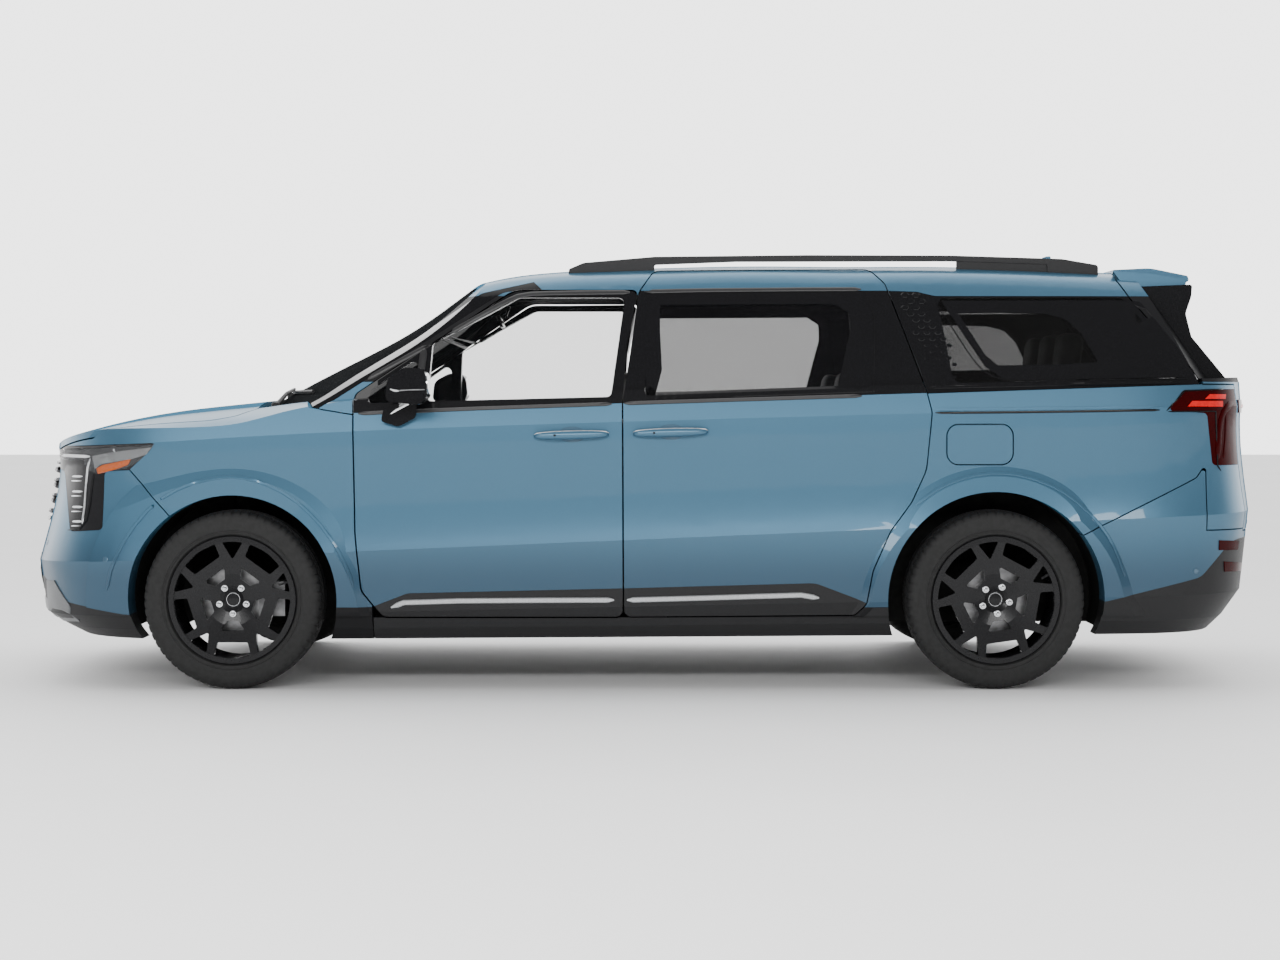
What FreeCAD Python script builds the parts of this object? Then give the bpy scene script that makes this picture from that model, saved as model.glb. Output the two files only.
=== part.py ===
"""A long sliding-door minivan, parked on its wheels.

Millimetres. +X points to the rear, +Y to the vehicle's right, +Z up. The origin lies on the ground
under the middle of the body. The left half of each panel is modelled and mirrored.
"""
import FreeCAD
import Part
import math
import os

V = FreeCAD.Vector

# Main sizes of the vehicle
LENGTH = 5155.0
WIDTH = 1995.0
ROOF_HEIGHT = 1742.0
WHEELBASE = 3090.0
FRONT_OVERHANG = 928.0
BODY_HALF_WIDTH = 975.0
HALF_LENGTH = LENGTH / 2
FRONT_AXLE_X = -HALF_LENGTH + FRONT_OVERHANG
REAR_AXLE_X = FRONT_AXLE_X + WHEELBASE

# Wheels
TYRE_RADIUS = 362.0
TYRE_WIDTH = 235.0
RIM_LIP_RADIUS = 260.0
TRACK_HALF = 860.0
AXLE_HEIGHT = TYRE_RADIUS
FRONT_ARCH_RADIUS = 424.0
REAR_ARCH_RADIUS = 438.0
FRONT_WELL_INNER_Y = -520.0
REAR_WELL_INNER_Y = -640.0

# Walls, gaps and clearances
BODY_WALL = 90.0
PILLAR_WALL = 46.0
HOOD_WALL = 26.0
WELL_WALL = 14.0
LINER_GAP = 1.0
LINER_DROP = 20.0
DOOR_GAP = 6.5
PANEL_GAP = 5.0
FIXED_GAP = 0.4
SEAT_GAP = 0.3
GLASS_THICKNESS = 5.0
OVERRUN = 400.0
SIDE_INNER_Y = -640.0
MIDDLE_LAP = 1.0
CORNER_SHARE = 0.48
SAME_PLACE = 1e-6
SLIVER_VOLUME = 2000.0
SHELL_SLIVER_VOLUME = 1000000.0
MIDDLE_EXTRA = 25.0
FLOOR_TOP_Z = 330.0
FLOOR_BOTTOM_Z = 246.0
FLOOR_SHEET = 20.0
FIREWALL_SHEET = 15.0
FIREWALL_X = -1203.0
CABIN_REAR_X = 2330.0

# The level outlines of the lower body, from the sill up to the haunch line and on to the shoulder.
# Each row is nose and tail as shares of the half length, half width as a share of the body half width,
# height as a share of the roof height, and the rise of the level per unit of length.
SILL_LEVEL_SHARES = [
    (0.9310, 0.9390, 0.908, 0.1177, 0.006),
    (0.9583, 0.9602, 0.949, 0.1464, 0.010),
    (0.9893, 0.9874, 0.979, 0.1923, 0.020),
]
HAUNCH_LEVEL_SHARES = (1.0, 1.0, 1.004, 0.3490, 0.042)
SIDE_LEVEL_SHARES = [
    (0.9874, 0.9957, 0.990, 0.4133, 0.038),
    (0.9746, 0.9903, 0.988, 0.4880, 0.036),
    (0.9700, 0.9888, 0.991, 0.5800, 0.030),
]
OUTLINE_ANGLES = (0, 16, 31, 45, 58, 70, 80)
SIDE_SPAN_SHARES = (0.0, 0.33, 0.67, 1.0)
NOSE_ROUNDING = 900.0
TAIL_ROUNDING = 700.0
NOSE_POWER = 3.2
TAIL_POWER = 4.0
SIDE_BOW_SHARE = 0.008

# The shoulder crease along the side: place along the half length, height as a share of the roof height.
CREASE_SHARES = [(-1.03, 0.548), (-0.961, 0.556), (-0.86, 0.5665), (-0.763, 0.5735), (-0.68, 0.582),
                 (-0.447, 0.5985), (-0.028, 0.6225), (0.457, 0.641), (0.823, 0.6545), (1.03, 0.6605)]
SHOULDER_LEAN = 0.24
SHOULDER_TOP_Z = 1500.0

# The hood and cowl: centre line height, edge height and how far down the shoulder plateau lies.
HOOD_SHARES = [(-1.05, 0.470, 0.470), (-0.985, 0.543, 0.530), (-0.962, 0.5585, 0.552), (-0.94, 0.575, 0.5620),
               (-0.90, 0.6000, 0.5750), (-0.85, 0.6225, 0.5855), (-0.78, 0.6440, 0.5940), (-0.70, 0.6590, 0.6010),
               (-0.62, 0.6710, 0.6130), (-0.55, 0.6790, 0.6420), (-0.47, 0.6850, 0.6640), (-0.30, 0.6950, 0.6850),
               (0.30, 0.7080, 0.7030), (1.05, 0.7300, 0.7250)]
HOOD_CROSS_SHARES = [(0.0, 1.0), (0.30, 0.965), (0.55, 0.88), (0.74, 0.73), (0.86, 0.53), (0.94, 0.27),
                     (1.0, 0.0), (1.08, -0.45)]
HOOD_ROWS = 31
HOOD_COLUMNS = 25

# The greenhouse: place, width factor, roof centre height and side top height, as shares.
BELT_HALF_WIDTH = 926.0
BELT_HEIGHT = 1175.0
BELT_RISE = 0.031
SIDE_TOP_HEIGHT = 1612.0
ROOF_SEAM_Y = 610.0
ROOF_STATION_SHARES = [(-0.66, 0.885, 0.8037), (-0.504, 0.935, 0.8553), (-0.388, 0.972, 0.9041),
                       (-0.292, 0.988, 0.9415), (-0.198, 0.996, 0.9750), (-0.097, 1.0, 0.9885),
                       (0.05, 1.002, 0.9966), (0.25, 1.002, 1.0), (0.45, 1.0, 0.9993), (0.62, 0.992, 0.9935),
                       (0.776, 0.972, 0.9830), (0.92, 0.935, 0.9690)]
GLASS_SIDE_SHARES = [(1.026, -0.16), (1.0, 0.0), (0.9645, 0.263), (0.9245, 0.515), (0.8800, 0.755), (0.8290, 1.0)]
ROOF_CROSS_SHARES = [(0.8030, 0.34), (0.7640, 0.64), (0.7000, 0.83), (0.5200, 0.955), (0.2700, 0.994), (0.0, 1.0)]

# Windshield and rear glass: rows of height, centre place and bow at the reference half width.
WINDSHIELD_SHARES = [(0.610, -0.6700, 0.0960), (0.6745, -0.6053, 0.0900), (0.7600, -0.4915, 0.0790),
                     (0.8500, -0.3780, 0.0640), (0.9400, -0.2915, 0.0480), (1.060, -0.1750, 0.0330)]
REAR_GLASS_SHARES = [(0.600, 1.0220, 0.0800), (0.7070, 0.9730, 0.0700), (0.7900, 0.9290, 0.0620),
                     (0.8760, 0.8840, 0.0560), (0.9490, 0.8420, 0.0500), (1.060, 0.7800, 0.0450)]
BOW_REFERENCE = 800.0
GLASS_REACH = 1020.0
BOW_POWER = 2.3
GLASS_ROWS = 9
GLASS_COLUMNS = 13
SIDE_LEAN_SHARE = 0.34


def mirrored(shape):
    """The right-hand copy of a left-hand shape."""
    return shape.mirror(V(0, 0, 0), V(0, 1, 0))


def both(shape):
    """A left-hand piece and its right-hand copy, as separate solids of one node."""
    return Part.makeCompound([shape, mirrored(shape)])


def joined(shape):
    """A left half and its mirror image, fused across the middle plane."""
    return shape.fuse(mirrored(shape)).removeSplitter()


def box(x0, x1, y0, y1, z0, z1):
    return Part.makeBox(x1 - x0, y1 - y0, z1 - z0, V(x0, y0, z0))


def spline_edge(points, start=None, end=None):
    curve = Part.BSplineCurve()
    if start is None:
        curve.interpolate(Points=points)
    else:
        curve.interpolate(Points=points, InitialTangent=start, FinalTangent=end)
    return curve.toShape()


def spline_face(grid):
    surface = Part.BSplineSurface()
    surface.interpolate(grid)
    return surface.toShape()


def rounded(corners, place):
    """A closed wire through corners (a, b, radius), with each corner rounded by an arc."""
    count = len(corners)
    starts, ends, middles = [], [], []
    for i, (a, b, radius) in enumerate(corners):
        p = V(a, b, 0)
        back = V(corners[i - 1][0], corners[i - 1][1], 0) - p
        ahead = V(corners[(i + 1) % count][0], corners[(i + 1) % count][1], 0) - p
        half = back.getAngle(ahead) / 2
        longest = min(back.Length, ahead.Length) * CORNER_SHARE
        reach = min(radius / math.tan(half), longest) if radius else 0.0
        back.normalize()
        ahead.normalize()
        starts.append(p + back * reach)
        ends.append(p + ahead * reach)
        r = reach * math.tan(half)
        bisector = back + ahead
        if reach:
            bisector.normalize()
            middles.append(p + bisector * (r / math.sin(half) - r))
        else:
            middles.append(None)
    edges = []
    for i in range(count):
        if middles[i] is not None:
            edges.append(Part.Arc(place(starts[i]), place(middles[i]), place(ends[i])).toShape())
        after = (i + 1) % count
        if (starts[after] - ends[i]).Length > SAME_PLACE:
            edges.append(Part.makeLine(place(ends[i]), place(starts[after])))
    return Part.Wire(edges)


def side_wire(corners, y):
    """Corners (x, z, radius) as a wire in the plane y."""
    return rounded(corners, lambda p: V(p.x, y, p.y))


def side_prism(corners, y0, y1):
    """The outline seen from the side, extruded across."""
    return Part.Face(side_wire(corners, y0)).extrude(V(0, y1 - y0, 0))


def front_prism(corners, x0, x1):
    """Corners (y, z, radius) extruded along X."""
    wire = rounded(corners, lambda p: V(x0, p.x, p.y))
    return Part.Face(wire).extrude(V(x1 - x0, 0, 0))


def grown(corners, distance):
    """The corners of an outline moved outwards by a distance, or inwards if it is negative."""
    count = len(corners)
    area = sum(corners[i][0] * corners[(i + 1) % count][1] - corners[(i + 1) % count][0] * corners[i][1]
               for i in range(count))
    turn = 1.0 if area > 0 else -1.0
    moved = []
    for i, (a, b, radius) in enumerate(corners):
        pa, pb, _ = corners[i - 1]
        na, nb, _ = corners[(i + 1) % count]
        d1 = V(a - pa, b - pb, 0).normalize()
        d2 = V(na - a, nb - b, 0).normalize()
        n1 = V(d1.y, -d1.x, 0) * turn
        n2 = V(d2.y, -d2.x, 0) * turn
        share = 1.0 + n1.dot(n2)
        shift = (n1 + n2) * (distance / share)
        grow = distance if (d1.cross(d2).z * turn) > 0 else -distance
        moved.append((a + shift.x, b + shift.y, max(radius + grow, 0.0) if radius else 0.0))
    return moved


def side_points(shares):
    """Outline corners given as shares of the half length and roof height, with radii in shares of the height."""
    return [(x * HALF_LENGTH, z * ROOF_HEIGHT, r * ROOF_HEIGHT) for x, z, r in shares]


def outline_points(nose, tail, width, height, rise):
    """Points along the left half of a rounded body outline, carried a little past the middle plane."""
    points = [(nose, MIDDLE_EXTRA)]
    for angle in OUTLINE_ANGLES:
        a = math.radians(angle)
        points.append((nose + NOSE_ROUNDING * (1 - math.cos(a) ** (2 / NOSE_POWER)),
                       -width * math.sin(a) ** (2 / NOSE_POWER)))
    front, rear = nose + NOSE_ROUNDING, tail - TAIL_ROUNDING
    for share in SIDE_SPAN_SHARES:
        points.append((front + (rear - front) * share, -width))
    for angle in reversed(OUTLINE_ANGLES):
        a = math.radians(angle)
        points.append((tail - TAIL_ROUNDING * (1 - math.cos(a) ** (2 / TAIL_POWER)),
                       -width * math.sin(a) ** (2 / TAIL_POWER)))
    points.append((tail, MIDDLE_EXTRA))
    return [V(x, y * (1 - SIDE_BOW_SHARE * (x / HALF_LENGTH) ** 2), height + rise * x) for x, y in points]


def closed(points):
    """A closed wire: a smooth curve around the left side and a straight line back."""
    outer = spline_edge(points, V(0, -1, 0), V(0, 1, 0))
    return Part.Wire([outer, Part.makeLine(points[-1], points[0])])


def level_points(shares, inset):
    nose, tail, width, height, rise = shares
    return outline_points(-nose * HALF_LENGTH + inset, tail * HALF_LENGTH - inset,
                          width * BODY_HALF_WIDTH - inset, height * ROOF_HEIGHT, rise)


def smooth_at(table, s, column=1):
    """A smooth reading, without overshoot, of a table whose first column rises."""
    if s <= table[0][0]:
        return table[0][column]
    if s >= table[-1][0]:
        return table[-1][column]
    i = max(j for j in range(len(table) - 1) if table[j][0] <= s)

    def slope(j):
        return (table[j + 1][column] - table[j][column]) / (table[j + 1][0] - table[j][0])

    def tangent(j):
        if j == 0 or j == len(table) - 1:
            return slope(min(j, len(table) - 2))
        before, after = slope(j - 1), slope(j)
        return 0.0 if before * after <= 0 else 2 * before * after / (before + after)

    span = table[i + 1][0] - table[i][0]
    t = (s - table[i][0]) / span
    p0, p1 = table[i][column], table[i + 1][column]
    return ((2 * t - 3) * t * t + 1) * p0 + (3 - 2 * t) * t * t * p1 \
        + ((t - 2) * t + 1) * t * span * tangent(i) + (t - 1) * t * t * span * tangent(i + 1)


def spread(first, last, count):
    """Evenly spaced values."""
    return [first + (last - first) * i / (count - 1) for i in range(count)]


def crease_z(x):
    return smooth_at(CREASE_SHARES, x / HALF_LENGTH) * ROOF_HEIGHT


def solid_of(faces):
    """A solid from faces that meet edge to edge."""
    shell = Part.makeShell(faces)
    shell.sewShape()
    return Part.makeSolid(Part.Shell(shell.Faces))


def tub(inset):
    """The left half of the lower body up to over the belt, before the hood is shaped."""
    sill = [closed(level_points(s, inset)) for s in SILL_LEVEL_SHARES]
    haunch = closed(level_points(HAUNCH_LEVEL_SHARES, inset))
    side = [closed(level_points(s, inset)) for s in SIDE_LEVEL_SHARES[:-1]]
    base = level_points(SIDE_LEVEL_SHARES[-1], inset)
    crease = closed([V(p.x, p.y, crease_z(p.x)) for p in base])
    top = closed([V(p.x, p.y + (SHOULDER_LEAN * (SHOULDER_TOP_Z - crease_z(p.x)) if p.y < -MIDDLE_LAP else 0),
                    SHOULDER_TOP_Z) for p in base])
    faces = [Part.Face(sill[0])] + Part.makeLoft(sill + [haunch], False, True).Faces
    faces += Part.makeLoft([haunch] + side + [crease], False, False).Faces
    faces += Part.makeLoft([crease, top], False, True).Faces + [Part.Face(top)]
    return solid_of(faces)


def hood_cutter(inset):
    """Everything above the hood, fender top and belt surface, on both sides."""
    grid = []
    for place in spread(HOOD_SHARES[0][0], HOOD_SHARES[-1][0], HOOD_ROWS):
        top = smooth_at(HOOD_SHARES, place, 1)
        edge = smooth_at(HOOD_SHARES, place, 2)
        row = []
        for s in spread(-HOOD_CROSS_SHARES[-1][0], HOOD_CROSS_SHARES[-1][0], HOOD_COLUMNS):
            z = (edge + (top - edge) * smooth_at(HOOD_CROSS_SHARES, abs(s))) * ROOF_HEIGHT - inset
            row.append(V(place * HALF_LENGTH, s * BODY_HALF_WIDTH, z))
        grid.append(row)
    return spline_face(grid).extrude(V(0, 0, 2 * OVERRUN))


def greenhouse(inset):
    """The cabin above the belt, before the windshield and rear glass are cut."""
    wires = []
    for place, factor, top in ROOF_STATION_SHARES:
        x = place * HALF_LENGTH
        belt = BELT_HEIGHT + BELT_RISE * x
        width = BELT_HALF_WIDTH * factor
        top_z = top * ROOF_HEIGHT - inset
        side_z = SIDE_TOP_HEIGHT - inset
        points = [V(x, -(width * s - inset), belt + (side_z - belt) * h) for s, h in GLASS_SIDE_SHARES]
        points += [V(x, -width * s, side_z + (top_z - side_z) * h) for s, h in ROOF_CROSS_SHARES]
        points.append(V(x, MIDDLE_EXTRA, top_z))
        outer = spline_edge(points, V(0, SIDE_LEAN_SHARE, 1), V(0, 1, 0))
        foot = V(x, MIDDLE_EXTRA, points[0].z)
        wires.append(Part.Wire([outer, Part.makeLine(points[-1], foot), Part.makeLine(foot, points[0])]))
    return Part.makeLoft(wires, True, False)


def glass_surface(shares, forward, inset):
    """The windshield or rear glass surface, as a face that spans both sides."""
    grid = []
    for height in spread(shares[0][0], shares[-1][0], GLASS_ROWS):
        row = []
        for y in spread(-GLASS_REACH, GLASS_REACH, GLASS_COLUMNS):
            bow = smooth_at(shares, height, 2) * abs(y / BOW_REFERENCE) ** BOW_POWER
            x = (smooth_at(shares, height, 1) - forward * bow) * HALF_LENGTH - forward * inset
            row.append(V(x, y, height * ROOF_HEIGHT))
        grid.append(row)
    return spline_face(grid)


def windshield_cutter(inset):
    return glass_surface(WINDSHIELD_SHARES, -1, inset).extrude(V(-LENGTH, 0, 0))


def rear_cutter(inset):
    return glass_surface(REAR_GLASS_SHARES, 1, inset).extrude(V(LENGTH, 0, 0))


def left_space():
    """The space on the left of the middle plane."""
    return box(-LENGTH, LENGTH, -WIDTH, 0, 0, 2 * ROOF_HEIGHT)


def lower_body(inset, hood_inset=None):
    shape = tub(inset).cut(hood_cutter(inset if hood_inset is None else hood_inset))
    return shape.common(left_space())


def upper_body(inset):
    return greenhouse(inset).cut([windshield_cutter(inset), rear_cutter(inset)]).common(left_space())



# Hinges and lamps
GATE_HINGE_X = 1930.0
GATE_HINGE_Z = 1682.0
GATE_FIXED_RADIUS = 46.5
GATE_GAP = 6.0
GATE_MOVING_RADIUS = 52.0
DOOR_HINGE_X = -1113.0
DOOR_HINGE_Y = -970.0
DOOR_CORNER_RADIUS = 84.0
DOOR_SWEEP_SHARES = [(0.16, 1.0690), (0.672, 1.0690), (0.80, 1.0925), (0.918, 1.1445), (0.96, 1.1580)]
LAMP_INNER_Y = 562.0
GRILLE_DEPTH_SHARE = 0.85
FRAME_GAP = 0.3
FLARE_OUTER_RADIUS = 548.0
FLARE_SLOPE = 0.45
FLARE_DEPTH = 20.0
FLARE_RUN = 60.0
FLARE_RISE = 50.0
MIRROR_INNER_Y = -990.0
MIRROR_OUTER_Y = -1152.0
MIRROR_FOOT_Y = -925.0
RAIL_Y = 640.0
PLATE_HALF_WIDTH = 165.0
PLATE_Z = 880.0
PLATE_HEIGHT = 150.0
PLATE_HOLE_RADIUS = 3.5
PLATE_HOLE_SPACING = 178.0
PLATE_HOLE_SHARE = 0.86
PLATE_SETBACK = 8.0
SPOILER_HALF_SHARE = 0.625
FIN_PLACE_SHARES = (-0.740, -0.628)
ANTENNA_HALF_SHARE = 0.03
SHAFT_RADIUS = 18.0
SHAFT_PLAY = 0.05
SHAFT_END_Y = 112.0
BORE_SPARE = 6.0
KINGPIN_RADIUS = 12.0
KINGPIN_FOOT_Z = 196.0
ARM_THICKNESS = 22.0
RAIL_WIDTH = 34.0
TAIL_LAMP_INNER_Y = 768.0
REAR_FLOOR_X = 1010.0
REAR_FLOOR_Z = 500.0
FIREWALL_TOP_Z = 1085.0
COWL_DROP = 34.0
COWL_THICKNESS = 30.0
COWL_FRONT_X = -1588.0
COWL_REAR_X = -1240.0
COWL_HALF_WIDTH = 770.0
STEERING_X = -745.0
STEERING_Y = -390.0
STEERING_Z = 985.0
STEERING_TILT = 27.0
STEERING_RADIUS = 178.0
STEERING_RIM_RADIUS = 15.0
STEERING_HUB_RADIUS = 62.0
STEERING_HUB_DEPTH = 40.0
STEERING_SPOKE_RADIUS = 14.0
STRUT_Y = 635.0
REAR_BEAM_END = 788.0
REAR_BEAM_RADIUS = 38.0
STRUT_RADIUS = 34.0
FLAP_THICKNESS = 8.0
FLAP_GAP = 5.5
FLAP_POCKET = 42.0
# Outlines seen from the side, as shares of half length, roof height and corner radius.
FRONT_DOOR_SHARES = [
    (-0.4508, 0.6831, 0.0172), (-0.4489, 0.5741, 0.1722), (-0.4462, 0.3674, 0.1722),
    (-0.4365, 0.2296, 0.0344), (-0.4035, 0.1682, 0.023), (-0.0272, 0.1682, 0.0161),
    (-0.0287, 0.6722, 0.1722), (-0.0054, 0.9127, 0.1148), (-0.0078, 0.93, 0.0126),
    (-0.2017, 0.93, 0.0689),
]
SLIDING_DOOR_SHARES = [
    (-0.0246, 0.1682, 0.0161), (-0.0262, 0.6722, 0.1722), (-0.0023, 0.9242, 0.0689),
    (0.0233, 0.9793, 0.0287), (0.3686, 0.9828, 0.0344), (0.3919, 0.9472, 0.0287),
    (0.4493, 0.6975, 0.0344), (0.4578, 0.6429, 0.0517), (0.4489, 0.5092, 0.0861),
    (0.426, 0.4363, 0.0689), (0.3922, 0.3691, 0.0689), (0.3647, 0.2767, 0.0689), (0.3546, 0.198, 0.023),
    (0.3368, 0.1722, 0.0172),
]
DOOR_GLASS_SHARES = [
    (-0.3356, 0.6693, 0.008), (-0.3298, 0.8037, 0.0115), (-0.1928, 0.9139, 0.0344),
    (-0.0241, 0.9139, 0.0144), (-0.0458, 0.6797, 0.0115),
]
DOOR_QUARTER_GLASS_SHARES = [
    (-0.4287, 0.6648, 0.0069), (-0.426, 0.6958, 0.0115), (-0.3492, 0.7761, 0.0144),
    (-0.3538, 0.6682, 0.0069),
]
SLIDING_GLASS_SHARES = [
    (0.007, 0.682, 0.0115), (0.0175, 0.9208, 0.0201), (0.3406, 0.9242, 0.023), (0.3705, 0.7026, 0.0172),
]
QUARTER_GLASS_SHARES = [
    (0.4741, 0.9139, 0.0172), (0.7721, 0.9139, 0.0172), (0.8722, 0.7245, 0.0172),
    (0.4947, 0.7118, 0.023),
]
TAILGATE_SHARES = [
    (0.755, 1.0907, 0), (0.7597, 0.9793, 0), (0.7864, 0.9133, 0.0344), (0.89, 0.7176, 0.0344),
    (0.8923, 0.6774, 0.023), (0.8923, 0.3651, 0), (1.1251, 0.3651, 0), (1.1251, 1.0907, 0),
]
FRONT_BUMPER_SHARES = [
    (-0.8054, 0.5086, 0), (-0.7333, 0.3938, 0), (-0.7333, 0.0574, 0), (-1.1251, 0.0574, 0),
    (-1.1251, 0.5086, 0),
]
REAR_BUMPER_SHARES = [
    (0.6596, 0.3444, 0), (0.6867, 0.3519, 0), (0.8764, 0.4897, 0.023), (0.8912, 0.5195, 0.0115),
    (0.8912, 0.3674, 0), (1.1251, 0.3674, 0), (1.1251, 0.0574, 0), (0.6596, 0.0574, 0),
]
HEADLAMP_SHARES = [
    (-1.1251, 0.5654, 0), (-0.9614, 0.5608, 0), (-0.7628, 0.5723, 0.0046), (-0.7721, 0.5522, 0.0057),
    (-0.8054, 0.5086, 0.0057), (-0.8477, 0.5052, 0.0115), (-0.8497, 0.3685, 0.0115),
    (-0.9098, 0.3617, 0.0115), (-0.9311, 0.5052, 0.0172), (-1.1251, 0.5052, 0),
]
TAIL_LAMP_SHARES = [
    (0.8295, 0.6475, 0.0057), (0.8555, 0.6958, 0.0172), (1.1251, 0.7026, 0), (1.1251, 0.5195, 0),
    (0.904, 0.5195, 0.0115), (0.8943, 0.6418, 0.0115),
]
FUEL_FLAP_SHARES = [
    (0.4826, 0.5235, 0.0258), (0.5847, 0.5235, 0.0258), (0.5847, 0.6142, 0.0258),
    (0.4826, 0.6142, 0.0258),
]
FENDER_SHARES = [
    (-1.1251, 0.0574, 0), (-0.421, 0.0574, 0), (-0.421, 0.1894, 0), (-0.4306, 0.6315, 0),
    (-0.5199, 0.6533, 0), (-0.582, 0.7463, 0), (-1.1251, 0.7463, 0),
]

BELT_SHARES = [
    (-0.6596, 0.6246, 0), (-0.45, 0.6418, 0.1722), (-0.04, 0.6642, 0.5166), (0.3701, 0.6848, 0.5166),
    (0.904, 0.7095, 0), (0.904, 0.9862, 0), (-0.6596, 0.9862, 0),
]
SLIDE_BELT_SHARES = [
    (-0.2716, 0.6515, 0), (-0.04, 0.6642, 0.5166), (0.3701, 0.6848, 0.5166), (0.582, 0.6946, 0),
    (0.582, 0.9311, 0), (-0.2716, 0.9311, 0),
]
CLADDING_SHARES = [
    (-0.4656, 0.1722, 0), (-0.421, 0.1912, 0.0172), (-0.3647, 0.2233, 0.0459), (-0.0272, 0.2348, 0),
    (0.2751, 0.2468, 0.0689), (0.3406, 0.2101, 0.023), (0.3725, 0.1894, 0), (0.3725, 0.0574, 0),
    (-0.4656, 0.0574, 0),
]
SILL_SHARES = [
    (-0.5509, 0.0574, 0), (-0.5509, 0.1848, 0), (-0.4248, 0.1848, 0), (-0.4206, 0.1659, 0),
    (0.3511, 0.1659, 0), (0.3666, 0.1894, 0), (0.4268, 0.1894, 0), (0.4268, 0.0574, 0),
]
QUARTER_TRIM_SHARES = [
    (0.3919, 0.9311, 0.0057), (0.4423, 0.9288, 0.023), (0.4714, 0.9185, 0.0344), (0.7876, 0.9173, 0),
    (0.904, 0.7095, 0), (0.4516, 0.6871, 0), (0.4423, 0.7463, 0), (0.4074, 0.884, 0),
]
PILLAR_TRIM_SHARES = [
    (-0.516, 0.6429, 0.0115), (-0.4578, 0.6975, 0), (-0.2173, 0.9288, 0.0574), (-0.1552, 0.9311, 0),
    (-0.1707, 0.9529, 0), (-0.2522, 0.9254, 0.0344), (-0.3492, 0.8324, 0.1722),
    (-0.5044, 0.6831, 0.1722), (-0.5509, 0.6418, 0),
]
FRONT_TRIM_SHARES = [
    (-1.1251, 0.0574, 0), (-1.1251, 0.2555, 0), (-0.9661, 0.248, 0.023), (-0.9226, 0.1969, 0.0344),
    (-0.8144, 0.1734, 0.0344), (-0.7682, 0.1699, 0), (-0.7682, 0.0574, 0),
]
REAR_TRIM_SHARES = [
    (0.6596, 0.0574, 0), (0.6596, 0.1952, 0), (0.7329, 0.2049, 0.0344), (0.8842, 0.2589, 0.0459),
    (0.9389, 0.3444, 0.0689), (1.1251, 0.3559, 0), (1.1251, 0.0574, 0),
]
MIRROR_HEAD_SHARES = [
    (-0.3926, 0.6688, 0.0138), (-0.3887, 0.7245, 0.0287), (-0.3608, 0.7463, 0.0287),
    (-0.3306, 0.744, 0.0195), (-0.3267, 0.6774, 0.023), (-0.3414, 0.6613, 0.0172),
]
MIRROR_FOOT_SHARES = [
    (-0.4058, 0.6228, 0.008), (-0.4016, 0.6487, 0.0057), (-0.3841, 0.6636, 0.0057),
    (-0.3492, 0.6636, 0.0057), (-0.3511, 0.6315, 0.0115), (-0.3783, 0.6108, 0.0115),
]
RAIL_SHARES = [
    (-0.1164, 0.9701, 0), (-0.1148, 0.9862, 0.0046), (-0.0912, 1.0011, 0.0344), (0.0233, 1.0155, 0.1148),
    (0.2716, 1.0195, 0.3444), (0.5044, 1.0184, 0.3444), (0.6828, 1.0103, 0.0574),
    (0.7418, 0.9954, 0.008), (0.7418, 0.9701, 0),
]
RAIL_GAP_SHARES = [
    (0.0233, 0.9185, 0), (0.0233, 0.9966, 0.0046), (0.1552, 1.004, 0.1148), (0.5044, 1.0052, 0.1148),
    (0.6596, 0.9977, 0.0046), (0.6596, 0.9185, 0),
]
SPOILER_SHARES = [
    (0.7686, 0.9185, 0), (0.7686, 0.9759, 0), (0.7701, 0.9856, 0.0034), (0.8303, 0.9897, 0.1148),
    (0.8908, 0.9713, 0.0046), (0.8935, 0.9598, 0.0057), (0.8807, 0.9483, 0.0115),
    (0.8419, 0.9185, 0.0344),
]
FIN_SHARES = [
    (0.7915, 0.9139, 0), (0.7895, 0.9414, 0), (0.8885, 0.9472, 0.0057), (0.8869, 0.9185, 0.023),
    (0.8776, 0.8783, 0.023), (0.904, 0.7245, 0.0057), (0.8865, 0.7245, 0),
]
FIN_ANTENNA_SHARES = [
    (0.6557, 0.9701, 0), (0.6596, 1, 0.0046), (0.6984, 1.0379, 0.0115), (0.7069, 1.039, 0.0034),
    (0.7131, 0.9989, 0.0046), (0.7131, 0.9701, 0),
]

# Outlines seen from the front and rear.
WINDSHIELD_SHARES_FRONT = [
    (-0.8513, 0.6429, 0.0344), (-0.6667, 0.9414, 0.0344), (0.6667, 0.9414, 0.0344),
    (0.8513, 0.6429, 0.0344),
]
REAR_WINDOW_SHARES = [
    (-0.7487, 0.7147, 0.0344), (-0.6256, 0.8955, 0.0402), (0.6256, 0.8955, 0.0402),
    (0.7487, 0.7147, 0.0344),
]
TAILGATE_LOWER_SHARES = [
    (-0.7795, 0.287, 0), (-0.7795, 0.7107, 0), (-1.2308, 0.7107, 0), (-1.2308, 1.2055, 0),
    (1.2308, 1.2055, 0), (1.2308, 0.7107, 0), (0.7795, 0.7107, 0), (0.7795, 0.287, 0),
]
GRILLE_SHARES = [
    (-0.5128, 0.3731, 0.0344), (-0.5744, 0.4592, 0.0344), (-0.5744, 0.6889, 0), (0.5744, 0.6889, 0),
    (0.5744, 0.4592, 0.0344), (0.5128, 0.3731, 0.0344),
]

# Outline of the hood seen from above.
HOOD_OUTLINE_SHARES = [
    (-0.9668, 0.1026, 0), (-0.9645, -0.4103, 0.1148), (-0.9467, -0.6564, 0.0861),
    (-0.904, -0.8103, 0.0861), (-0.8341, -0.8944, 0.1148), (-0.6805, -0.9128, 0.0861),
    (-0.6402, -0.8882, 0.0344), (-0.6099, -0.8103, 0.023), (-0.6161, -0.5128, 0.1722),
    (-0.6208, 0.1026, 0),
]


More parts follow.
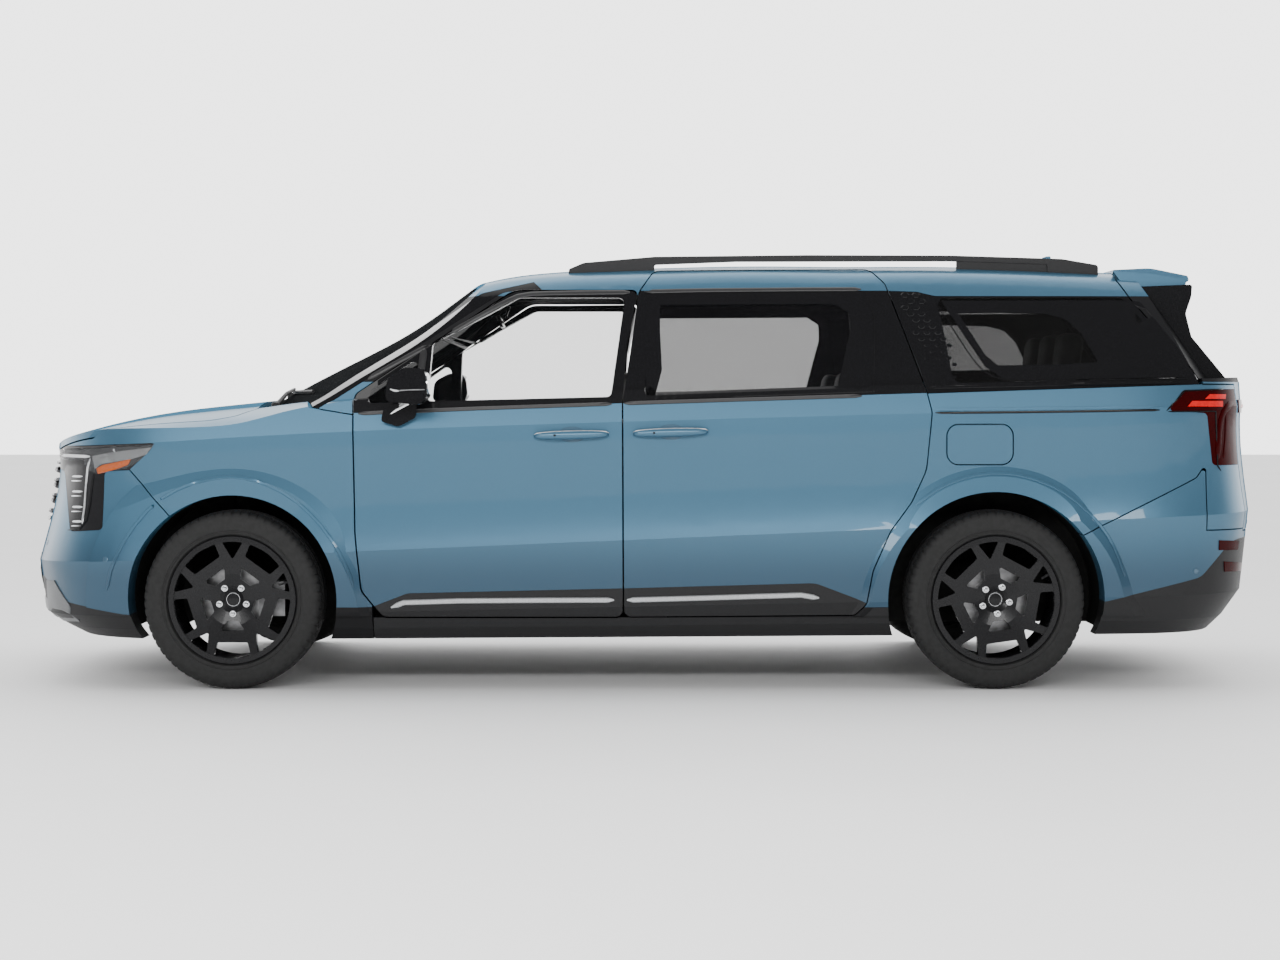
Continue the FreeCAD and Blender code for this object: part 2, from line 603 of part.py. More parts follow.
def front_points(shares):
    """Outline corners across the car, given as shares of the body half width and roof height."""
    return [(y * BODY_HALF_WIDTH, z * ROOF_HEIGHT, r * ROOF_HEIGHT) for y, z, r in shares]


def plan_points(shares):
    """Outline corners seen from above."""
    return [(x * HALF_LENGTH, y * BODY_HALF_WIDTH, r * ROOF_HEIGHT) for x, y, r in shares]


def side_cut(shares, gap=0.0, y1=SIDE_INNER_Y):
    """The side outline, grown by a gap, cut through the left side up to the plane y1."""
    points = side_points(shares)
    return side_prism(grown(points, gap) if gap else points, -WIDTH, y1)


def across(shares, gap=0.0, x0=-LENGTH, x1=LENGTH):
    points = front_points(shares)
    return front_prism(grown(points, gap) if gap else points, x0, x1)


def wheel_space(x, radius, inner_y):
    """The round space for one left wheel."""
    return Part.makeCylinder(radius, WIDTH, V(x, inner_y, AXLE_HEIGHT), V(0, -1, 0))


def kept(shape, smallest=SLIVER_VOLUME):
    """The shape without slivers."""
    solids = [s for s in shape.Solids if s.Volume > smallest]
    return solids[0] if len(solids) == 1 else Part.makeCompound(solids)


def flare_space(x):
    """The round space in which the body swells out around a wheel, thinning to nothing at its rim."""
    start = BODY_HALF_WIDTH - FLARE_DEPTH
    inner_y, outer_y = BODY_HALF_WIDTH - OVERRUN / 2, WIDTH / 2 + PANEL_GAP
    inner = FLARE_OUTER_RADIUS + (start - outer_y) / FLARE_SLOPE
    run = min((start - inner_y) / FLARE_SLOPE, FLARE_RUN)
    points = [V(0, -inner_y, 0), V(0, -outer_y, 0), V(inner, -outer_y, 0), V(FLARE_OUTER_RADIUS, -start, 0),
              V(FLARE_OUTER_RADIUS + run, -start + FLARE_SLOPE * run, 0), V(FLARE_OUTER_RADIUS + run, -inner_y, 0)]
    ring = Part.Face(Part.makePolygon(points + [points[0]])).revolve(V(0, 0, 0), V(0, 1, 0), 360)
    above = box(-LENGTH, LENGTH, -WIDTH, 0, FLOOR_BOTTOM_Z + FLARE_RISE, ROOF_HEIGHT)
    return ring.translated(V(x, 0, AXLE_HEIGHT)).common(above)


def left_panels():
    """All outer panels of the left half, cut from one body volume."""
    bare, up = lower_body(0), upper_body(0)
    swell = lower_body(BODY_HALF_WIDTH * HAUNCH_LEVEL_SHARES[2] - WIDTH / 2)
    flare = swell.common(flare_space(FRONT_AXLE_X).fuse(flare_space(REAR_AXLE_X)))
    low = bare.fuse(flare.Solids)
    outer = low.fuse(up)
    inner = lower_body(BODY_WALL, HOOD_WALL).fuse(upper_body(PILLAR_WALL))
    wider = lower_body(BODY_WALL + DOOR_GAP, HOOD_WALL + DOOR_GAP).fuse(upper_body(PILLAR_WALL + DOOR_GAP))
    wells = wheel_space(FRONT_AXLE_X, FRONT_ARCH_RADIUS, FRONT_WELL_INNER_Y).fuse(
        wheel_space(REAR_AXLE_X, REAR_ARCH_RADIUS, REAR_WELL_INNER_Y))
    outer = outer.cut(wells)
    skin = outer.cut(wider)
    thick = outer.cut(inner)
    panes = {}

    glazing = up.cut(upper_body(GLASS_THICKNESS))
    deep = upper_body(GLASS_THICKNESS + FIXED_GAP)

    def pane(name, shares):
        panes[name] = kept(side_cut(shares, -SEAT_GAP).common(glazing))

    pane("sliding_door_glass", SLIDING_GLASS_SHARES)
    pane("quarter_glass", QUARTER_GLASS_SHARES)
    glass = side_cut(DOOR_GLASS_SHARES, -SEAT_GAP).fuse(side_cut(DOOR_QUARTER_GLASS_SHARES, -SEAT_GAP))
    panes["front_door_glass"] = kept(glass.common(glazing))
    shield = across(WINDSHIELD_SHARES_FRONT, -SEAT_GAP, -LENGTH, 0)
    hood_space = Part.Face(rounded(grown(plan_points(HOOD_OUTLINE_SHARES), DOOR_GAP), lambda p: V(p.x, p.y, 0)))
    hood_space = hood_space.extrude(V(0, 0, 2 * ROOF_HEIGHT)).common(hood_cutter(HOOD_WALL + DOOR_GAP))
    cowl_space = hood_cutter(COWL_DROP + OVERRUN).cut(hood_cutter(COWL_DROP - SEAT_GAP)).common(
        box(COWL_FRONT_X - OVERRUN, COWL_REAR_X, -WIDTH, 0, 0, ROOF_HEIGHT))
    shield = shield.common(up).common(windshield_cutter(GLASS_THICKNESS)).cut([hood_space, cowl_space])
    panes["windshield"] = kept(shield)
    rear = across(REAR_WINDOW_SHARES, -SEAT_GAP, 0, LENGTH)
    panes["tailgate_glass"] = kept(rear.common(up).common(rear_cutter(GLASS_THICKNESS)))

    shell = skin
    out = {}
    door_gap_space = side_cut(FRONT_DOOR_SHARES, DOOR_GAP)
    slide_gap_space = side_cut(SLIDING_DOOR_SHARES, PANEL_GAP)
    gate_side = side_prism(grown(side_points(TAILGATE_SHARES), GATE_GAP), -WIDTH, WIDTH)
    gate_space = gate_side.common(across(TAILGATE_LOWER_SHARES, GATE_GAP, 0, LENGTH))
    gate_space = gate_space.cut(gate_cylinder(GATE_FIXED_RADIUS))
    shell = shell.cut([door_gap_space, slide_gap_space, hood_space, gate_space])
    shell = shell.cut([across(WINDSHIELD_SHARES_FRONT, 0, -LENGTH, 0), side_cut(QUARTER_GLASS_SHARES)])

    def take(name, region, gap_region):
        nonlocal shell
        out[name] = kept(shell.common(region))
        shell = shell.cut(gap_region)

    outer_side = box(-LENGTH, LENGTH, -WIDTH, -LAMP_INNER_Y, 0, ROOF_HEIGHT)
    lamp = side_cut(HEADLAMP_SHARES, -FIXED_GAP, 0).common(outer_side)
    take("headlamps", lamp, side_cut(HEADLAMP_SHARES, FIXED_GAP, 0).common(
        box(-LENGTH, LENGTH, -WIDTH, -LAMP_INNER_Y + FIXED_GAP, 0, ROOF_HEIGHT)))
    take("grille", across(GRILLE_SHARES, -FIXED_GAP, -LENGTH, -HALF_LENGTH * GRILLE_DEPTH_SHARE),
         across(GRILLE_SHARES, FIXED_GAP, -LENGTH, -HALF_LENGTH * GRILLE_DEPTH_SHARE))
    take("front_bumper", side_cut(FRONT_BUMPER_SHARES, 0, MIDDLE_LAP),
         side_cut(FRONT_BUMPER_SHARES, PANEL_GAP, MIDDLE_LAP))
    take("front_fenders", side_cut(FENDER_SHARES, 0, MIDDLE_LAP), side_cut(FENDER_SHARES, PANEL_GAP, MIDDLE_LAP))
    trims = []
    for shares, around_it in ((QUARTER_TRIM_SHARES, [side_cut(QUARTER_GLASS_SHARES), slide_gap_space, gate_space]),
                              (PILLAR_TRIM_SHARES, [door_gap_space, side_cut(FENDER_SHARES, PANEL_GAP, 0),
                                                    across(WINDSHIELD_SHARES_FRONT, 0, -LENGTH, 0)])):
        trim = side_cut(shares, -FRAME_GAP, 0).common(glazing).cut(around_it)
        trims.append(kept(trim))
        shell = shell.cut(side_cut(shares, FRAME_GAP, 0).cut(deep))
    out["pillar_trim"] = Part.makeCompound([s for t in trims for s in t.Solids])
    take("sill_trim", side_cut(SILL_SHARES, 0, 0), side_cut(SILL_SHARES, FRAME_GAP, 0))
    lamp_side = box(0, LENGTH, -WIDTH, -TAIL_LAMP_INNER_Y, 0, ROOF_HEIGHT)
    take("tail_lamps", side_cut(TAIL_LAMP_SHARES, -FIXED_GAP, 0).common(lamp_side),
         side_cut(TAIL_LAMP_SHARES, FIXED_GAP, 0).common(lamp_side))
    take("rear_bumper", side_cut(REAR_BUMPER_SHARES, 0, MIDDLE_LAP),
         side_cut(REAR_BUMPER_SHARES, PANEL_GAP, MIDDLE_LAP))
    flap_zone = low.cut(lower_body(FLAP_THICKNESS))
    flap = kept(side_cut(FUEL_FLAP_SHARES).common(flap_zone))
    pocket = side_cut(FUEL_FLAP_SHARES, FLAP_GAP).cut(lower_body(FLAP_POCKET))
    out["flap_pocket"] = pocket
    out["fuel_flap"] = flap
    for name, shares in (("front", FRONT_TRIM_SHARES), ("rear", REAR_TRIM_SHARES)):
        bumper = out[name + "_bumper"]
        out[name + "_lower_trim"] = kept(bumper.common(side_cut(shares, 0, MIDDLE_LAP)))
        out[name + "_bumper"] = kept(bumper.cut(side_cut(shares, FRAME_GAP, MIDDLE_LAP)))
    out["body_shell"] = kept(shell)

    slide = thick.common(side_cut(SLIDING_DOOR_SHARES)).cut(side_cut(SLIDING_GLASS_SHARES))
    out["sliding_door_frames"] = kept(slide.common(side_cut(SLIDE_BELT_SHARES)))
    out["sliding_door_cladding"] = kept(slide.common(side_cut(CLADDING_SHARES)))
    slide = slide.cut([side_cut(SLIDE_BELT_SHARES, FRAME_GAP), side_cut(CLADDING_SHARES, FRAME_GAP)])
    out["sliding_doors"] = kept(slide)
    door = thick.common(side_cut(FRONT_DOOR_SHARES))
    door = door.cut([side_cut(DOOR_GLASS_SHARES), side_cut(DOOR_QUARTER_GLASS_SHARES)])
    door = door.common(door_sweep()).cut(door_corner())
    out["front_door_frame"] = kept(door.common(side_cut(BELT_SHARES)))
    out["front_door_cladding"] = kept(door.common(side_cut(CLADDING_SHARES)))
    door = door.cut([side_cut(BELT_SHARES, FRAME_GAP), side_cut(CLADDING_SHARES, FRAME_GAP)])
    out["front_door_left"] = kept(door)
    foot = shares_block(MIRROR_FOOT_SHARES, (MIRROR_INNER_Y - MIDDLE_LAP) / BODY_HALF_WIDTH,
                        MIRROR_FOOT_Y / BODY_HALF_WIDTH)
    head = shares_block(MIRROR_HEAD_SHARES, MIRROR_OUTER_Y / BODY_HALF_WIDTH, MIRROR_INNER_Y / BODY_HALF_WIDTH)
    around = [lower_body(-SEAT_GAP), upper_body(-SEAT_GAP)]
    out["mirror"] = kept(head.fuse(foot.cut(around)))
    outer_rail, inner_rail = RAIL_Y + RAIL_WIDTH / 2, RAIL_Y - RAIL_WIDTH / 2
    rail = shares_block(RAIL_SHARES, -outer_rail / BODY_HALF_WIDTH, -inner_rail / BODY_HALF_WIDTH)
    out["roof_rails"] = kept(rail.cut([side_cut(RAIL_GAP_SHARES, 0, 0), around[1]]))
    spoiler = shares_block(SPOILER_SHARES, -SPOILER_HALF_SHARE, 0).cut(around[1])
    out["spoiler"] = kept(spoiler)
    fin = shares_block(FIN_SHARES, *FIN_PLACE_SHARES).cut(around)
    out["spoiler_fin"] = kept(fin)
    plate = box(GATE_HINGE_X, HALF_LENGTH - PLATE_SETBACK, -PLATE_HALF_WIDTH, 0, PLATE_Z, PLATE_Z + PLATE_HEIGHT)
    plate = plate.cut(around[0])
    hole = Part.makeCylinder(PLATE_HOLE_RADIUS, OVERRUN, V(HALF_LENGTH - OVERRUN / 2, -PLATE_HOLE_SPACING / 2,
                                                          PLATE_Z + PLATE_HEIGHT * PLATE_HOLE_SHARE), V(1, 0, 0))
    out["plate_bracket"] = kept(plate.cut(hole))
    out["antenna"] = shares_block(FIN_ANTENNA_SHARES, -ANTENNA_HALF_SHARE, 0).cut(around[1])
    plan = Part.Face(rounded(plan_points(HOOD_OUTLINE_SHARES), lambda p: V(p.x, p.y, 0)))
    bonnet = plan.extrude(V(0, 0, 2 * ROOF_HEIGHT)).common(hood_cutter(HOOD_WALL)).common(low)
    out["hood"] = kept(bonnet)
    gate = side_prism(side_points(TAILGATE_SHARES), -WIDTH, WIDTH).common(across(TAILGATE_LOWER_SHARES, 0, 0, LENGTH))
    gate = gate.cut(gate_cylinder(GATE_MOVING_RADIUS)).common(thick).cut(across(REAR_WINDOW_SHARES, 0, 0, LENGTH))
    out["tailgate"] = kept(gate)
    out.update(panes)
    return out


def gate_cylinder(radius):
    return Part.makeCylinder(radius, 2 * WIDTH, V(GATE_HINGE_X, -WIDTH, GATE_HINGE_Z), V(0, 1, 0))


def door_sweep():
    """The round space that the rear edge of a front door must stay inside when it swings."""
    rows = [(0, DOOR_SWEEP_SHARES[0][1])] + DOOR_SWEEP_SHARES
    points = [V(0, 0, 0)] + [V(r * BODY_HALF_WIDTH, 0, z * ROOF_HEIGHT) for z, r in rows]
    points.append(V(0, 0, points[-1].z))
    profile = Part.Face(Part.makePolygon(points + [points[0]]))
    turned = profile.revolve(V(0, 0, 0), V(0, 0, 1), 360)
    return turned.translated(V(DOOR_HINGE_X, DOOR_HINGE_Y, 0))


def door_corner():
    """The inner front corner that a front door gives up so that it can swing about its hinges."""
    block = box(DOOR_HINGE_X - OVERRUN, DOOR_HINGE_X + DOOR_CORNER_RADIUS / 2, DOOR_HINGE_Y, 0, 0, 2 * ROOF_HEIGHT)
    pin = Part.makeCylinder(DOOR_CORNER_RADIUS, 2 * ROOF_HEIGHT, V(DOOR_HINGE_X, DOOR_HINGE_Y, 0), V(0, 0, 1))
    return block.cut(pin)


# Wheel profile tables: place across as a share of the tyre width, radius as a share of the tyre radius.
TYRE_SHARES = [(-0.417, 0.6796), (-0.417, 0.7265), (-0.466, 0.7430), (-0.500, 0.8287), (-0.494, 0.8950),
               (-0.451, 0.9613), (-0.375, 0.9910), (-0.255, 0.9986), (0.0, 1.0)]
BARREL_SHARES = [(-0.460, 0.6520), (-0.460, 0.7100), (-0.446, 0.7180), (-0.421, 0.7180), (-0.419, 0.6785),
                 (0.419, 0.6785), (0.421, 0.7072), (0.443, 0.7072), (0.460, 0.6960), (0.460, 0.6575),
                 (0.40, 0.6575), (-0.40, 0.6520)]
SPOKE_SHARES = [(-0.300, 0.0), (-0.300, 0.1000), (-0.340, 0.1500), (-0.395, 0.2900), (-0.428, 0.6530),
                (-0.300, 0.6530), (-0.270, 0.2900), (-0.180, 0.2400), (-0.180, 0.0)]
# Openings of the rim face: along the radius and across, as shares of the lip radius.
V_WINDOW_SHARES = [(0.630, 0.0, 0.020), (0.905, -0.168, 0.025), (0.905, 0.168, 0.025)]
OUTER_WINDOW_SHARES = [(0.662, -0.238, 0.030), (0.862, -0.288, 0.030), (0.915, 0.0, 0.5), (0.862, 0.288, 0.030),
                       (0.662, 0.238, 0.030)]
INNER_WINDOW_SHARES = [(0.330, -0.088, 0.025), (0.482, -0.200, 0.025), (0.482, 0.200, 0.025), (0.330, 0.088, 0.025)]
SPOKE_COUNT = 5
LUG_CIRCLE = 114.3
LUG_HOLE_RADIUS = 9.0
REAR_WHEEL_TURN = -8.0
DISC_RADIUS = 160.0
DISC_THICKNESS = 26.0
DISC_FACE_Y = -14.0
HAT_RADIUS = 80.0
HUB_FACE_Y = -42.0
KINGPIN_OFFSET = 60.0
KNUCKLE_RADIUS = 40.0
KNUCKLE_PLAY = 1.0
CARRIER_REACH = 30.0
CALIPER_SHARES = (0.62, 1.28)
CALIPER_REACH = 28.0
CALIPER_DEPTH = 40.0
CALIPER_HALF_HEIGHT = 70.0
CALIPER_GAP = 6.0
BRIDGE_LAP = 20.0
BRIDGE_DEPTH = 34.0


def turned(shares, width, radius):
    """A ring solid from a closed profile turned about the Y axis."""
    points = [V(radius * r, width * y, 0) for y, r in shares]
    return Part.Face(Part.makePolygon(points + [points[0]])).revolve(V(0, 0, 0), V(0, 1, 0), 360)


def tyre():
    profile = TYRE_SHARES + [(-y, r) for y, r in reversed(TYRE_SHARES[:-1])]
    return turned(profile, TYRE_WIDTH, TYRE_RADIUS)


def window_prism(shares, angle):
    corners = [(u * RIM_LIP_RADIUS, v * RIM_LIP_RADIUS, r * RIM_LIP_RADIUS) for u, v, r in shares]
    wire = rounded(corners, lambda p: V(p.x, -TYRE_WIDTH, p.y))
    prism = Part.Face(wire).extrude(V(0, 2 * TYRE_WIDTH, 0))
    prism.rotate(V(0, 0, 0), V(0, 1, 0), -angle)
    return prism


def rim():
    """The rim: barrel and five forked spokes tied by short bars, outer side towards -Y."""
    face = turned(SPOKE_SHARES, TYRE_WIDTH, TYRE_RADIUS)
    cutters = []
    for i in range(SPOKE_COUNT):
        angle = 90 + 360 / SPOKE_COUNT * i
        between = angle + 180 / SPOKE_COUNT
        cutters.append(window_prism(V_WINDOW_SHARES, angle))
        cutters.append(window_prism(OUTER_WINDOW_SHARES, between))
        cutters.append(window_prism(INNER_WINDOW_SHARES, between))
        a = math.radians(between)
        place = V(LUG_CIRCLE / 2 * math.cos(a), -TYRE_WIDTH, LUG_CIRCLE / 2 * math.sin(a))
        cutters.append(Part.makeCylinder(LUG_HOLE_RADIUS, 2 * TYRE_WIDTH, place, V(0, 1, 0)))
    return turned(BARREL_SHARES, TYRE_WIDTH, TYRE_RADIUS).fuse(face.cut(cutters))


def cylinder_y(radius, y0, y1, x=0.0, z=0.0):
    return Part.makeCylinder(radius, y1 - y0, V(x, y0, z), V(0, 1, 0))


def brake():
    """Disc, hat and hub of one wheel."""
    disc = cylinder_y(DISC_RADIUS, DISC_FACE_Y, DISC_FACE_Y + DISC_THICKNESS)
    hat = cylinder_y(HAT_RADIUS, HUB_FACE_Y, DISC_FACE_Y + DISC_THICKNESS)
    return disc.fuse([hat, cylinder_y(SHAFT_RADIUS, HUB_FACE_Y, SHAFT_END_Y)])


def knuckle():
    """Steering knuckle on its kingpin, with the brake caliper, beside the brake disc."""
    inner = DISC_FACE_Y + DISC_THICKNESS + PANEL_GAP + KNUCKLE_PLAY
    drop = AXLE_HEIGHT - KINGPIN_FOOT_Z - ARM_THICKNESS - PANEL_GAP - KNUCKLE_PLAY
    post = Part.makeCylinder(KNUCKLE_RADIUS, 2 * drop, V(0, KINGPIN_OFFSET, -drop))
    pin = Part.makeCylinder(KINGPIN_RADIUS, OVERRUN, V(0, KINGPIN_OFFSET, -AXLE_HEIGHT + KINGPIN_FOOT_Z))
    pin = pin.common(box(-OVERRUN, OVERRUN, -OVERRUN, OVERRUN, -AXLE_HEIGHT, 0))
    carrier = cylinder_y(HAT_RADIUS, inner, KINGPIN_OFFSET + CARRIER_REACH)
    inside = DISC_RADIUS * CALIPER_SHARES[0]
    caliper = box(inside, DISC_RADIUS * CALIPER_SHARES[1], DISC_FACE_Y - CALIPER_REACH, inner + CALIPER_DEPTH,
                  -CALIPER_HALF_HEIGHT, CALIPER_HALF_HEIGHT)
    slot = box(0, DISC_RADIUS + CALIPER_GAP, DISC_FACE_Y - CALIPER_GAP, inner, -OVERRUN, OVERRUN)
    bridge = box(0, inside + BRIDGE_LAP, inner, inner + BRIDGE_DEPTH, -BRIDGE_DEPTH, BRIDGE_DEPTH)
    bore = cylinder_y(SHAFT_RADIUS + SHAFT_PLAY, -OVERRUN, OVERRUN)
    return carrier.fuse([post, pin, caliper.cut(slot), bridge]).cut(bore)


def place_wheel(shape, x, side, turn=0.0):
    """Moves a wheel piece to its axle end; side is -1 for left and 1 for right."""
    copy = shape.copy()
    if turn:
        copy.rotate(V(0, 0, 0), V(0, 1, 0), turn)
    if side > 0:
        copy = mirrored(copy)
    return copy.translated(V(x, side * TRACK_HALF, AXLE_HEIGHT))


def block(points, y0, y1):
    """A side outline of corners (x, z, radius) extruded between two planes."""
    return Part.Face(side_wire(points, y0)).extrude(V(0, y1 - y0, 0))


def shares_block(shares, y0, y1):
    return block(side_points(shares), y0 * BODY_HALF_WIDTH, y1 * BODY_HALF_WIDTH)


# Interior outlines
SEAT_CUSHION_SHARES = [
    (0, 0.1894, 0.023), (-0.0116, 0.2698, 0.0287), (0.1668, 0.2956, 0.0287), (0.1862, 0.2698, 0.0172),
    (0.1816, 0.1894, 0.0057),
]
SEAT_BACK_SHARES = [
    (0.1835, 0.1894, 0.0057), (0.225, 0.1894, 0.0115), (0.2987, 0.6085, 0.0344),
    (0.2871, 0.6429, 0.0287), (0.2483, 0.6372, 0.0344), (0.1886, 0.2813, 0.0344),
]
HEAD_REST_SHARES = [
    (0.2677, 0.6515, 0.0172), (0.3065, 0.6515, 0.0172), (0.3104, 0.729, 0.023), (0.2774, 0.729, 0.023),
]
HEAD_STEM_SHARES = [
    (0.2677, 0.6085, 0), (0.2793, 0.6085, 0), (0.291, 0.6889, 0), (0.2793, 0.6889, 0),
]
FRONT_SEAT_PLACE = -800.0
MIDDLE_SEAT_PLACE = 130.0
REAR_SEAT_PLACE = 1080.0
REAR_SEAT_RISE = 170.3
DASH_SHARES = [
    (-0.4578, 0.4363, 0.0172), (-0.4578, 0.6343, 0.0115), (-0.3919, 0.6429, 0.0344),
    (-0.3337, 0.6085, 0.0344), (-0.3259, 0.5511, 0.0287), (-0.3608, 0.5166, 0.0344),
    (-0.3725, 0.4018, 0.023),
]
CONSOLE_SHARES = [
    (-0.4268, 0.1894, 0), (-0.4268, 0.4133, 0.023), (-0.3492, 0.4133, 0.0344), (-0.2173, 0.3674, 0.023),
    (-0.128, 0.3559, 0.023), (-0.128, 0.1894, 0),
]
ENGINE_SHARES = [
    (-0.8458, 0.1894, 0.0344), (-0.8652, 0.4018, 0.0459), (-0.8341, 0.5339, 0.0344),
    (-0.6828, 0.5511, 0.0344), (-0.6596, 0.4018, 0.0344), (-0.6751, 0.1894, 0.0344),
]
SEAT_HALF_SHARES = (0.14, 0.66)
ENGINE_FOOT_Z = 330.0
JACK_PLACES = (-1000.0, 820.0)
JACK_PAD_Z = 212.0
MUFFLER_X = 1650.0
DASH_HALF_SHARE = 0.865
CONSOLE_HALF_SHARE = 0.12
ENGINE_HALF_SHARE = 0.45
HEAD_REST_SHARE = 0.27
HEAD_STEM_HALF_SHARE = 0.04
REAR_SEAT_HALF_SHARE = 0.62
REAR_REST_SHARE = 0.24
REAR_REST_SPACING = 400.0

# Front subframe and struts
STRUT_FOOT_Z = 400.0
STRUT_LAP = 10.0
STRUT_POST_HALF_WIDTH = 25.0
ARM_HALF_WIDTH = 30.0
ARM_INNER_Y = 250.0
CRADLE_HALF_LENGTH = 260.0
CRADLE_HALF_WIDTH = 330.0
CRADLE_TOP_Z = 275.0
CRADLE_RISE = 14.0
CRADLE_RAIL_WIDTH = 60.0
CRADLE_RAIL_DEPTH = 25.0
ENGINE_FOOT_SETBACK = 120.0
ENGINE_FOOT_Y = 190.0
ENGINE_FOOT_HALF_WIDTH = 40.0
ENGINE_FOOT_LAP = 5.0

# Rear axle
HUB_CARRIER_RADIUS = 60.0
HUB_CARRIER_WIDTH = 40.0
TRAILING_ARM_BOTTOM_Z = 300.0
TRAILING_ARM_DEPTH = 40.0
TRAILING_ARM_HALF_WIDTH = 30.0
SPRING_RADIUS = 50.0
SPRING_Y = 530.0
SPRING_FOOT_Z = 345.0
SPRING_SETBACK = 60.0
PERCH_DEPTH = 15.0
PERCH_LIP = 5.0

# Splash shield, exhaust, fuel tank and jacking pads
SHIELD_HALF_WIDTH = 480.0
SHIELD_THICKNESS = 18.0
EXHAUST_Y = 300.0
PIPE_RADIUS = 28.0
PIPE_SETBACK = 60.0
LINK_HALF_WIDTH = 25.0
MUFFLER_RADIUS = 95.0
MUFFLER_LENGTH = 620.0
TAIL_PIPE_RADIUS = 30.0
TAIL_PIPE_LENGTH = 350.0
TAIL_PIPE_X = 2060.0
TAIL_PIPE_Z = 380.0
TANK_FRONT_X = 150.0
TANK_REAR_X = 900.0
TANK_LEFT_Y = 560.0
TANK_RIGHT_Y = 120.0
TANK_DEPTH = 45.0
JACK_PAD_Y = 750.0
JACK_PAD_HALF_LENGTH = 45.0
JACK_PAD_HALF_WIDTH = 30.0


def seat(x, rise, y0, y1, rest_share=HEAD_REST_SHARE):
    """Cushion, backrest and headrest, standing side by side."""
    move = V(x, 0, rise)
    back = shares_block(SEAT_BACK_SHARES, y0, y1)
    cushion = shares_block(SEAT_CUSHION_SHARES, y0, y1)
    middle = (y0 + y1) / 2
    rest = shares_block(HEAD_REST_SHARES, middle - rest_share / 2, middle + rest_share / 2)
    stem = shares_block(HEAD_STEM_SHARES, middle - HEAD_STEM_HALF_SHARE, middle + HEAD_STEM_HALF_SHARE)
    return [p.translated(move) for p in (cushion, back, rest.fuse(stem).cut(back))]


def front_suspension():
    """Left half of the subframe, lower arm and strut, with the kingpin's socket and an engine mount."""
    x, kingpin_y = FRONT_AXLE_X, -TRACK_HALF + KINGPIN_OFFSET
    top = AXLE_HEIGHT + math.sqrt(FRONT_ARCH_RADIUS ** 2 - STRUT_RADIUS ** 2) - SEAT_GAP
    strut = Part.makeCylinder(STRUT_RADIUS, top - STRUT_FOOT_Z, V(x, -STRUT_Y, STRUT_FOOT_Z))
    half = STRUT_POST_HALF_WIDTH
    post = box(x - half, x + half, -STRUT_Y - half, -STRUT_Y + half, KINGPIN_FOOT_Z, STRUT_FOOT_Z + STRUT_LAP)
    arm = box(x - ARM_HALF_WIDTH, x + ARM_HALF_WIDTH, kingpin_y, -ARM_INNER_Y, KINGPIN_FOOT_Z,
              KINGPIN_FOOT_Z + ARM_THICKNESS)
    boss = Part.makeCylinder(ARM_HALF_WIDTH, ARM_THICKNESS, V(x, kingpin_y, KINGPIN_FOOT_Z))
    socket = Part.makeCylinder(KINGPIN_RADIUS + SHAFT_PLAY, OVERRUN, V(x, kingpin_y, 0))
    cradle = box(x - CRADLE_HALF_LENGTH, x + CRADLE_HALF_LENGTH, -CRADLE_HALF_WIDTH, 0,
                 KINGPIN_FOOT_Z + CRADLE_RISE, CRADLE_TOP_Z)
    rail = box(x + CRADLE_HALF_LENGTH - CRADLE_RAIL_WIDTH, FIREWALL_X - SEAT_GAP, -CRADLE_HALF_WIDTH,
               -CRADLE_HALF_WIDTH + CRADLE_RAIL_WIDTH, CRADLE_TOP_Z - CRADLE_RAIL_DEPTH, CRADLE_TOP_Z)
    foot_x, foot_half = x - ENGINE_FOOT_SETBACK, ENGINE_FOOT_HALF_WIDTH
    engine_foot = box(foot_x - foot_half, foot_x + foot_half, -ENGINE_FOOT_Y - foot_half, -ENGINE_FOOT_Y + foot_half,
                      CRADLE_TOP_Z - ENGINE_FOOT_LAP, ENGINE_FOOT_Z - SEAT_GAP)
    return strut.fuse([post, arm, boss, cradle, rail, engine_foot]).cut(socket)


def rear_suspension():
    """Left half of the rear axle: beam, hub carrier, trailing arm and spring."""
    x = REAR_AXLE_X
    beam = cylinder_y(REAR_BEAM_RADIUS, -REAR_BEAM_END, 0, x, AXLE_HEIGHT)
    carrier = cylinder_y(HUB_CARRIER_RADIUS, -REAR_BEAM_END, -REAR_BEAM_END + HUB_CARRIER_WIDTH, x, AXLE_HEIGHT)
    arm = box(REAR_FLOOR_X + SEAT_GAP, x, -SPRING_Y - TRAILING_ARM_HALF_WIDTH, -SPRING_Y + TRAILING_ARM_HALF_WIDTH,
              TRAILING_ARM_BOTTOM_Z, TRAILING_ARM_BOTTOM_Z + TRAILING_ARM_DEPTH)
    spring = Part.makeCylinder(SPRING_RADIUS, REAR_FLOOR_Z - FLOOR_SHEET - SEAT_GAP - SPRING_FOOT_Z,
                               V(x + SPRING_SETBACK, -SPRING_Y, SPRING_FOOT_Z))
    perch = box(x, x + SPRING_SETBACK + SPRING_RADIUS, -SPRING_Y - SPRING_RADIUS, -SPRING_Y + SPRING_RADIUS,
                SPRING_FOOT_Z - PERCH_DEPTH, SPRING_FOOT_Z + PERCH_LIP)
    bore = cylinder_y(SHAFT_RADIUS + SHAFT_PLAY, -WIDTH, -TRACK_HALF + SHAFT_END_Y + BORE_SPARE, x, AXLE_HEIGHT)
    return beam.fuse([carrier, arm, spring, perch]).cut(bore)


